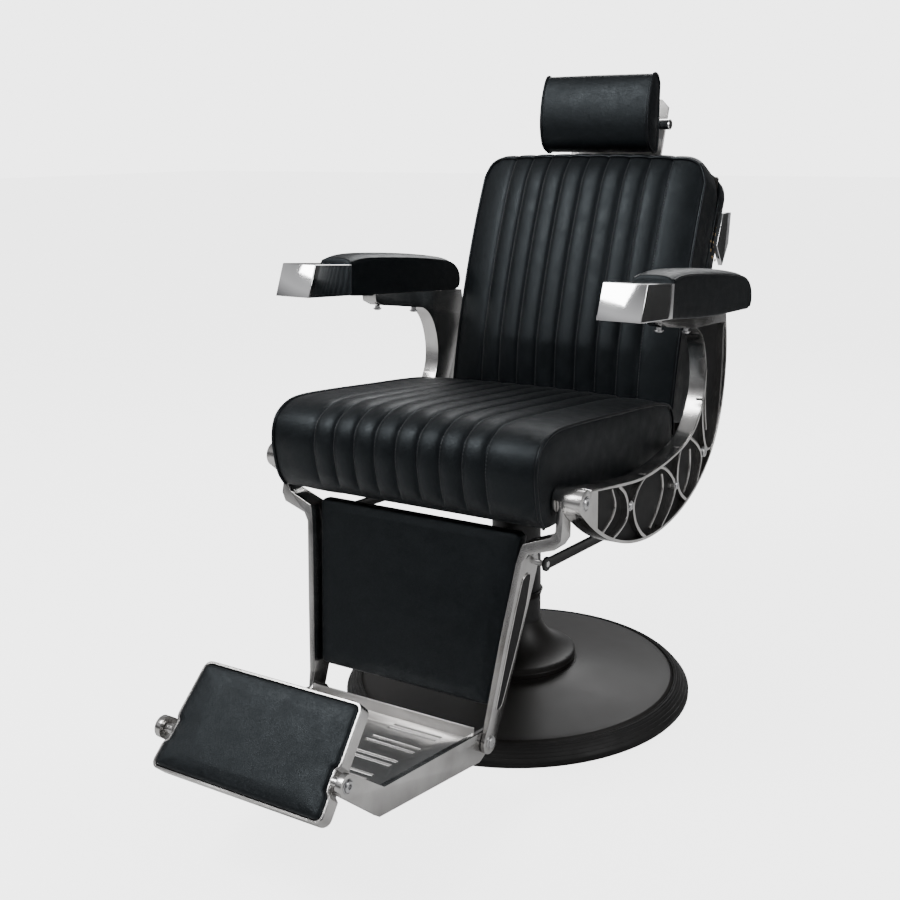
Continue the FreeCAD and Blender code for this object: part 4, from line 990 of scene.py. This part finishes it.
def cover_ring(x):
    """Front to rear over the top, down the rear and back under the foot, at one x."""
    over = max(0.0, abs(x) - (cover_edge - cover_round))
    rear = cover_rear - (cover_round - math.sqrt(max(0.0, cover_round ** 2 - over ** 2)))
    wide = max(0.0, abs(x) - (cover_edge - cover_corner))
    top = 0.5655 - (cover_corner - math.sqrt(max(0.0, cover_corner ** 2 - wide ** 2)))
    ring = [on_back(x, depth, top)]
    for step in range(9):
        angle = math.pi / 2 * step / 8
        ring.append(on_back(x, rear - cover_round * (1 - math.sin(angle)),
                            top - cover_round * (1 - math.cos(angle))))
    for step in range(1, 30):
        share = step / 30
        ring.append(on_back(x, rear, (top - cover_round) * (1 - share) + cover_foot * share))
    ring += [on_back(x, rear, cover_foot), on_back(x, depth, cover_foot)]
    for step in range(1, 30):
        ring.append(on_back(x, depth, cover_foot * (1 - step / 30) + top * step / 30))
    return ring


columns = [i / 12 * (cover_edge - cover_corner) for i in range(-12, 13)]
bend = [cover_edge - cover_corner + cover_corner * math.sin(math.pi / 2 * i / 10)
        for i in range(1, 11)]
columns = [-x for x in reversed(bend)] + columns + bend
cover = skin("back_cover_leather", [cover_ring(x) for x in columns])
ease(cover, 0.002, 2, angle=40)
dress(cover, leather, "back", "leather", "back_cover")
border = [on_back(-0.222, 0.1382, 0.060 + 0.02 * i) for i in range(24)]
border += [on_back(-0.210 + 0.03 * i, 0.1382, 0.538) for i in range(15)]
border += [on_back(0.222, 0.1382, 0.520 - 0.02 * i) for i in range(24)]
dress(cord_along("cover_border", curve_through(border, 0.010), 0.0016), piping_leather, "back",
      "leather")
seam = [on_back(cover_edge * side + 0.0004 * side, depth, run)
        for side, run in [(1, 0.04 + 0.02 * i) for i in range(24)]]
both_sides(cord_along("cover_piping", curve_through(seam, 0.012), 0.0018), piping_leather, "back",
           "leather")

# Leg arms. Cast aluminium, polished: an S-shaped upper part that hangs in the hub, then a
# tapering blade with a long black pocket along its outer face, down to the fold bolt.
both("leg_arm", 0.0016, cast, "leg_rest", "cast_aluminium")
paint(powder, "leg_crossbar")
fold = hinge["footplate_fold"]


def blade_x(z):
    """The outer face of the tapering blade at a height."""
    return 0.1880 + (0.2190 - 0.1880) * (z - 0.152) / (0.410 - 0.152)


pocket_line = [Vector((0, y, z)) for y, z in (
    (-0.3385, 0.385), (-0.3480, 0.330), (-0.3600, 0.275), (-0.3760, 0.210), (-0.3890, 0.160))]
pocket_width = (0.0135, 0.0175, 0.0165, 0.0125, 0.0085)
spots = curve_through(pocket_line, 0.004)
halves = []
for i in range(len(spots)):
    part = i / (len(spots) - 1)
    at = part * (len(pocket_width) - 1)
    k = min(len(pocket_width) - 2, int(at))
    half = pocket_width[k] + (pocket_width[k + 1] - pocket_width[k]) * (at - k)
    end = min(part, 1 - part) * len(spots) * 0.004
    halves.append(math.sqrt(max(1e-8, half ** 2 - max(0, half - end) ** 2)))
pocket = capped("blade_pocket", [
    [Vector((blade_x(p.z) + rise, p.y + way * half, p.z))
     for rise, way in ((0.0005, -1), (0.0005, 1), (-0.003, 1), (-0.003, -1))]
    for p, half in zip(spots, halves)])
both_sides(pocket, matt_black, "leg_rest", "black_panel")
rim_line = [Vector((blade_x(p.z) + 0.0004, p.y - half, p.z)) for p, half in zip(spots, halves)]
rim_line += [Vector((blade_x(p.z) + 0.0004, p.y + half, p.z))
             for p, half in reversed(list(zip(spots, halves)))]
both_sides(cord_along("pocket_rim", rim_line, 0.0011, loop=True, sides=3), cast, "leg_rest",
           "cast_aluminium")
both_sides(socket_screw("fold_screw", 0.1842, fold.y, fold.z, 0.0088, 0.0034), steel,
           "footplate", "steel")

# Calf panel. A tapered board padded with thin foam and wrapped in plain leather, stapled
# behind; it is flat in the middle and rolls over at its edges.
calf_top, calf_low = Vector((0, -0.339, 0.452)), Vector((0, -0.397, 0.165))
calf_down = (calf_low - calf_top).normalized()
calf_back = Vector((0, -calf_down.z, calf_down.y))
calf_height = (calf_low - calf_top).length


def calf_outline(deep, inset):
    """A tapered, round-cornered loop in the panel's plane, at a depth behind its face."""
    corner = max(0.004, 0.006 - inset)
    height = calf_height - 2 * inset
    loop = []
    for way, half, run, turn in ((1, 0.2055, corner, (1, 0, 0, -1)),
                                 (-1, 0.2055, corner, (0, -1, -1, 0)),
                                 (-1, 0.1740, height - corner, (-1, 0, 0, 1)),
                                 (1, 0.1740, height - corner, (0, 1, 1, 0))):
        for step in range(5):
            a, b = math.cos(step * math.pi / 8), math.sin(step * math.pi / 8)
            loop.append((way * (half - inset - corner) + corner * (turn[0] * a + turn[1] * b),
                         run + corner * (turn[2] * a + turn[3] * b)))
    full = []
    for (x0, r0), (x1, r1) in zip(loop, loop[1:] + loop[:1]):
        parts = max(1, round(math.hypot(x1 - x0, r1 - r0) / 0.012))
        full += [(x0 + (x1 - x0) * i / parts, r0 + (r1 - r0) * i / parts) for i in range(parts)]
    return [calf_top + calf_back * deep + calf_down * (run + inset) + Vector((x, 0, 0))
            for x, run in full]


def fitted(loop, count):
    """A closed loop spaced again to a fixed number of points."""
    lengths = [(b - a).length for a, b in zip(loop, loop[1:] + loop[:1])]
    total, result, index, walked = sum(lengths), [], 0, 0.0
    for number in range(count):
        target = total * number / count
        while walked + lengths[index] < target:
            walked += lengths[index]
            index += 1
        a, b = loop[index], loop[(index + 1) % len(loop)]
        result.append(a.lerp(b, (target - walked) / max(lengths[index], 1e-9)))
    return result


calf = skin("calf_leather", [fitted(calf_outline(deep, inset), 112) for deep, inset in (
    (0.0235, 0.10), (0.0235, 0.06), (0.0235, 0.03), (0.0235, 0.012), (0.0232, 0.002),
    (0.0215, 0.0), (0.016, -0.0006), (0.0095, 0.0), (0.0045, 0.0006), (0.0018, 0.0022),
    (0.0004, 0.005), (-0.0004, 0.012), (-0.0010, 0.03), (-0.0012, 0.06), (-0.0012, 0.10))])
modify(calf, "REMESH", mode="VOXEL", voxel_size=0.004, use_smooth_shade=True)
rear = [v.index for v in calf.data.vertices if (v.co - calf_top).dot(calf_back) > 0.019]
inflate(calf, rear, pressure=0.6, cap=0.0015)
modify(calf, "SUBSURF", levels=1, render_levels=1)
dress(calf, leather, "leg_rest", "leather", "calf_pad")

# Footplate. Two polished cast rails turn on the fold bolts and carry a slotted sheet-steel
# tread between them, brushed along its length, with its rear edge turned up.


def brushed(name, dark, light):
    """Metal brushed along Y: stretched noise sets its gloss and its fine lines."""
    made = shader(name, dark, light, 0.2, 0.34, metal=1.0, coarse=12, fine=300)
    tree = made.node_tree
    stretch = add(tree, "ShaderNodeMapping",
                  {"Vector": add(tree, "ShaderNodeTexCoord").outputs["Object"],
                   "Scale": (900, 18, 900)})
    lines = add(tree, "ShaderNodeTexNoise", {"Vector": stretch.outputs["Vector"],
                                             "Scale": 1.0, "Detail": 3}).outputs["Fac"]
    rub = add(tree, "ShaderNodeMapRange", {"Value": lines, "To Min": 0.22, "To Max": 0.48})
    bump = add(tree, "ShaderNodeBump", {"Height": lines, "Distance": 0.00004})
    feed(tree, tree.nodes["Principled BSDF"], {"Roughness": rub.outputs["Result"],
                                               "Normal": bump.outputs["Normal"]})
    return made


brushed_steel = brushed("brushed_steel", (0.50, 0.49, 0.48), (0.68, 0.67, 0.66))
both("foot_rail", 0.0014, cast, "footplate", "cast_aluminium")
finished("foot_tread", 0.0007, brushed_steel, "footplate", "steel", name="foot_tread_plate")
flip = hinge["foot_pad_flip"]
both_sides(socket_screw("flip_screw", 0.1762, flip.y, flip.z, 0.0085, 0.0034), steel,
           "footplate", "steel")

# Flip-over foot pad. A cast rim, notched at its two pins, holds leather over foam on one
# side and a brushed tread plate on the other, for shoes when the pad is turned over.
paint(brushed_steel, "pad_tread")
pad_turn = Matrix.Translation(flip) @ Matrix.Rotation(math.radians(46.4), 4, "X")
pad_low, pad_high, low_half, high_half = -0.061, 0.113, 0.161, 0.151
pad_face, pad_back = 0.0046, -0.0194


def pad_outline(deep, inset, corner=0.013, count=168):
    """A tapered loop in the pad's own plane: round corners, and a notch beside each pin."""
    loop = []
    corner = max(0.003, corner - inset)
    for sx, top in ((1, False), (1, True), (-1, True), (-1, False)):
        half = (high_half if top else low_half) - inset
        y = (pad_high - inset) if top else (pad_low + inset)
        centre = Vector((sx * (half - corner), y + (-corner if top else corner), 0))
        start = {(1, False): -math.pi / 2, (1, True): 0, (-1, True): math.pi / 2,
                 (-1, False): math.pi}[(sx, top)]
        for step in range(7):
            angle = start + step * math.pi / 12
            loop.append(centre + Vector((math.cos(angle), math.sin(angle), 0)) * corner)
    placed = []
    for p in fitted(loop, count):
        near_pin = max(0.0, min(1.0, (0.0215 - abs(p.y)) / 0.005))
        cut = 0.0065 * near_pin * near_pin * (3 - 2 * near_pin) if abs(p.x) > 0.12 else 0.0
        placed.append(Vector((p.x - math.copysign(cut, p.x), p.y, deep)))
    return placed




def pad_rings(shape):
    return [[pad_turn @ p for p in pad_outline(deep, inset)] for deep, inset in shape]


rim_piece = skin("pad_rim", pad_rings((
    (pad_face - 0.0012, 0.0), (pad_face, 0.0012), (pad_face, 0.0036), (pad_face - 0.0012, 0.0048),
    (pad_back + 0.0012, 0.0072), (pad_back, 0.006), (pad_back, 0.0012), (pad_back + 0.0012, 0.0),
    (pad_face - 0.0012, 0.0))))
smooth(rim_piece, 40)
dress(rim_piece, cast, "foot_pad", "cast_aluminium", "pad_frame")

foot = skin("foot_pad_leather", pad_rings((
    (-0.0115, 0.05), (-0.0115, 0.02), (-0.0115, 0.0072), (-0.004, 0.0060), (0.0008, 0.0052),
    (0.0040, 0.0050), (0.0062, 0.0066), (0.0078, 0.0105), (0.0088, 0.018), (0.0093, 0.032),
    (0.0095, 0.05))))
modify(foot, "REMESH", mode="VOXEL", voxel_size=0.0032, use_smooth_shade=True)
inverse = pad_turn.inverted()
held = [v.index for v in foot.data.vertices if (inverse @ v.co).z < 0.001]
inflate(foot, held, pressure=0.7, cap=0.0012)
modify(foot, "SUBSURF", levels=1, render_levels=1)
dress(foot, leather, "foot_pad", "leather", "pad_cushion")
for side in (-1, 1):
    collar = spun("pin_collar_" + ("right", "left")[side > 0],
                  [(0, 0.1500), (0.0075, 0.1500), (0.0085, 0.1512), (0.0085, 0.1638),
                   (0.0075, 0.1650), (0, 0.1650)], steps=32)
    collar.data.transform(Matrix.Translation((0, flip.y, flip.z))
                          @ Matrix.Rotation(side * math.pi / 2, 4, "Y"))
    smooth(collar, 30)
    dress(collar, cast, "foot_pad", "cast_aluminium")

# Head rest. A brushed plate slides in the back's guide; its brackets grip a grooved rod,
# and a small cushion with piped, D-shaped ends tilts on that rod.
rod_y, rod_z = hinge["headrest_tilt"].yz
plate = eased("headrest_post", 0)
post_top = Vector(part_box("headrest_post")[1])
slope = Vector((0, math.sin(math.radians(20)), math.cos(math.radians(20))))
for side in (-1, 1):
    edit(plate, (bpy.ops.mesh.bisect,
                 dict(plane_co=(side * (post_top.x - 0.020), post_top.y, post_top.z),
                      plane_no=Vector((side, 0, 0)) + slope * 1.2, use_fill=True,
                      clear_outer=True)))
ease(plate, 0.0012, 3)
dress(plate, brushed_steel, "headrest_post", "chrome", "headrest_post")
finished("headrest_bracket", 0.0012, cast, "headrest_post", "cast_aluminium")
paint(steel, "headrest_clamps")
rod_low, rod_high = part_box("tilt_rod")
rod = (rod_high[2] - rod_low[2]) / 2
rod_end = rod_high[0]
rod_points = [(0, -rod_end), (rod - 0.0015, -rod_end), (rod, -rod_end + 0.0015)]
for side in (-1, 1):
    grooves = [side * x for x in (0.080, 0.086, 0.092, 0.098, 0.104, 0.110, 0.116)]
    for x in sorted(grooves):
        rod_points += [(rod, x - 0.0016), (rod - 0.0011, x - 0.0008),
                       (rod - 0.0011, x + 0.0008), (rod, x + 0.0016)]
rod_points += [(rod, rod_end - 0.0015), (rod - 0.0015, rod_end), (0, rod_end)]
bar = spun("grooved_rod", rod_points, steps=48)
bar.data.transform(Matrix.Translation((0, rod_y, rod_z)) @ Matrix.Rotation(math.pi / 2, 4, "Y"))
smooth(bar, 30)
dress(bar, chrome, "headrest", "chrome", "tilt_rod")

head_half = 0.118
head_front = curve_through([Vector((0, y, z)) for y, z in (
    (0.344, 1.036), (0.322, 1.050), (0.3125, 1.085), (0.3155, 1.125), (0.326, 1.160),
    (0.341, 1.1845), (0.358, 1.1835), (0.3685, 1.168))], 0.006)
head_rear = curve_through([head_front[-1], Vector((0, 0.3665, 1.120)), Vector((0, 0.3655, 1.060)),
                           Vector((0, 0.358, 1.037)), head_front[0]], 0.007)
head_loop = head_front + head_rear[1:-1]
head_spine = (Vector((0, 0.343, 1.075)), Vector((0, 0.347, 1.145)))


def head_ring(x):
    crown = 0.0045 * (1 - (x / head_half) ** 2)
    ring = []
    for p in head_loop:
        away = (p - toward(p, head_spine, 1.0)).normalized()
        free = max(0.0, -away.y * 0.8 + 0.2) if away.y < 0.25 else 0.0
        ring.append(Vector((x, p.y, p.z)) + away * crown * free)
    return ring


head_columns = [head_half * math.sin(math.pi / 2 * (i / 18)) for i in range(-18, 19)]
head_rings = closed([head_ring(x) for x in head_columns], head_loop, head_spine,
                    (-head_half, head_half), (0.93, 0.75, 0.5, 0.28, 0.12, 0.04),
                    lambda share: 0.004 * math.sqrt(share))
head = skin("headrest_leather", head_rings)
held = head_ring(-head_half) + head_ring(head_half)
held += [p for x in head_columns for p in head_ring(x)[len(head_front):]]
inflate(head, near(head, held), pressure=3.0, cap=0.003)
modify(head, "SUBSURF", levels=1, render_levels=1)
dress(head, leather, "headrest", "leather", "headrest_cushion")
for side, label in ((-1, "right"), (1, "left")):
    loop = []
    for p in head_ring(side * head_half):
        away = (p - toward(p, head_spine, 1.0)).normalized()
        away.x = 0
        loop.append(Vector((side * (head_half + 0.0005), p.y, p.z)) + away * 0.0012)
    dress(cord_along("headrest_piping_" + label, loop, 0.0026, loop=True), piping_leather,
          "headrest", "leather")

# Recline lever. A thick plated paddle on a short spindle that comes through the side of the
# back; the barber pulls it to free the lock. Small brass tacks hold the leather round it.
finished("recline_lever", 0.0025, chrome, "recline_lever", "chrome", segments=3)
lever = hinge["lever_pull"]
for number in range(7):
    angle = math.radians(100 + 32 * number)
    tack = socket_screw("lever_tack_%d" % (number + 1), back_edge + 0.0006,
                        lever.y + 0.031 * math.cos(angle), lever.z + 0.031 * math.sin(angle),
                        0.0032, 0.0014, seat=False)
    dress(tack, bronze, "back", "bronze")
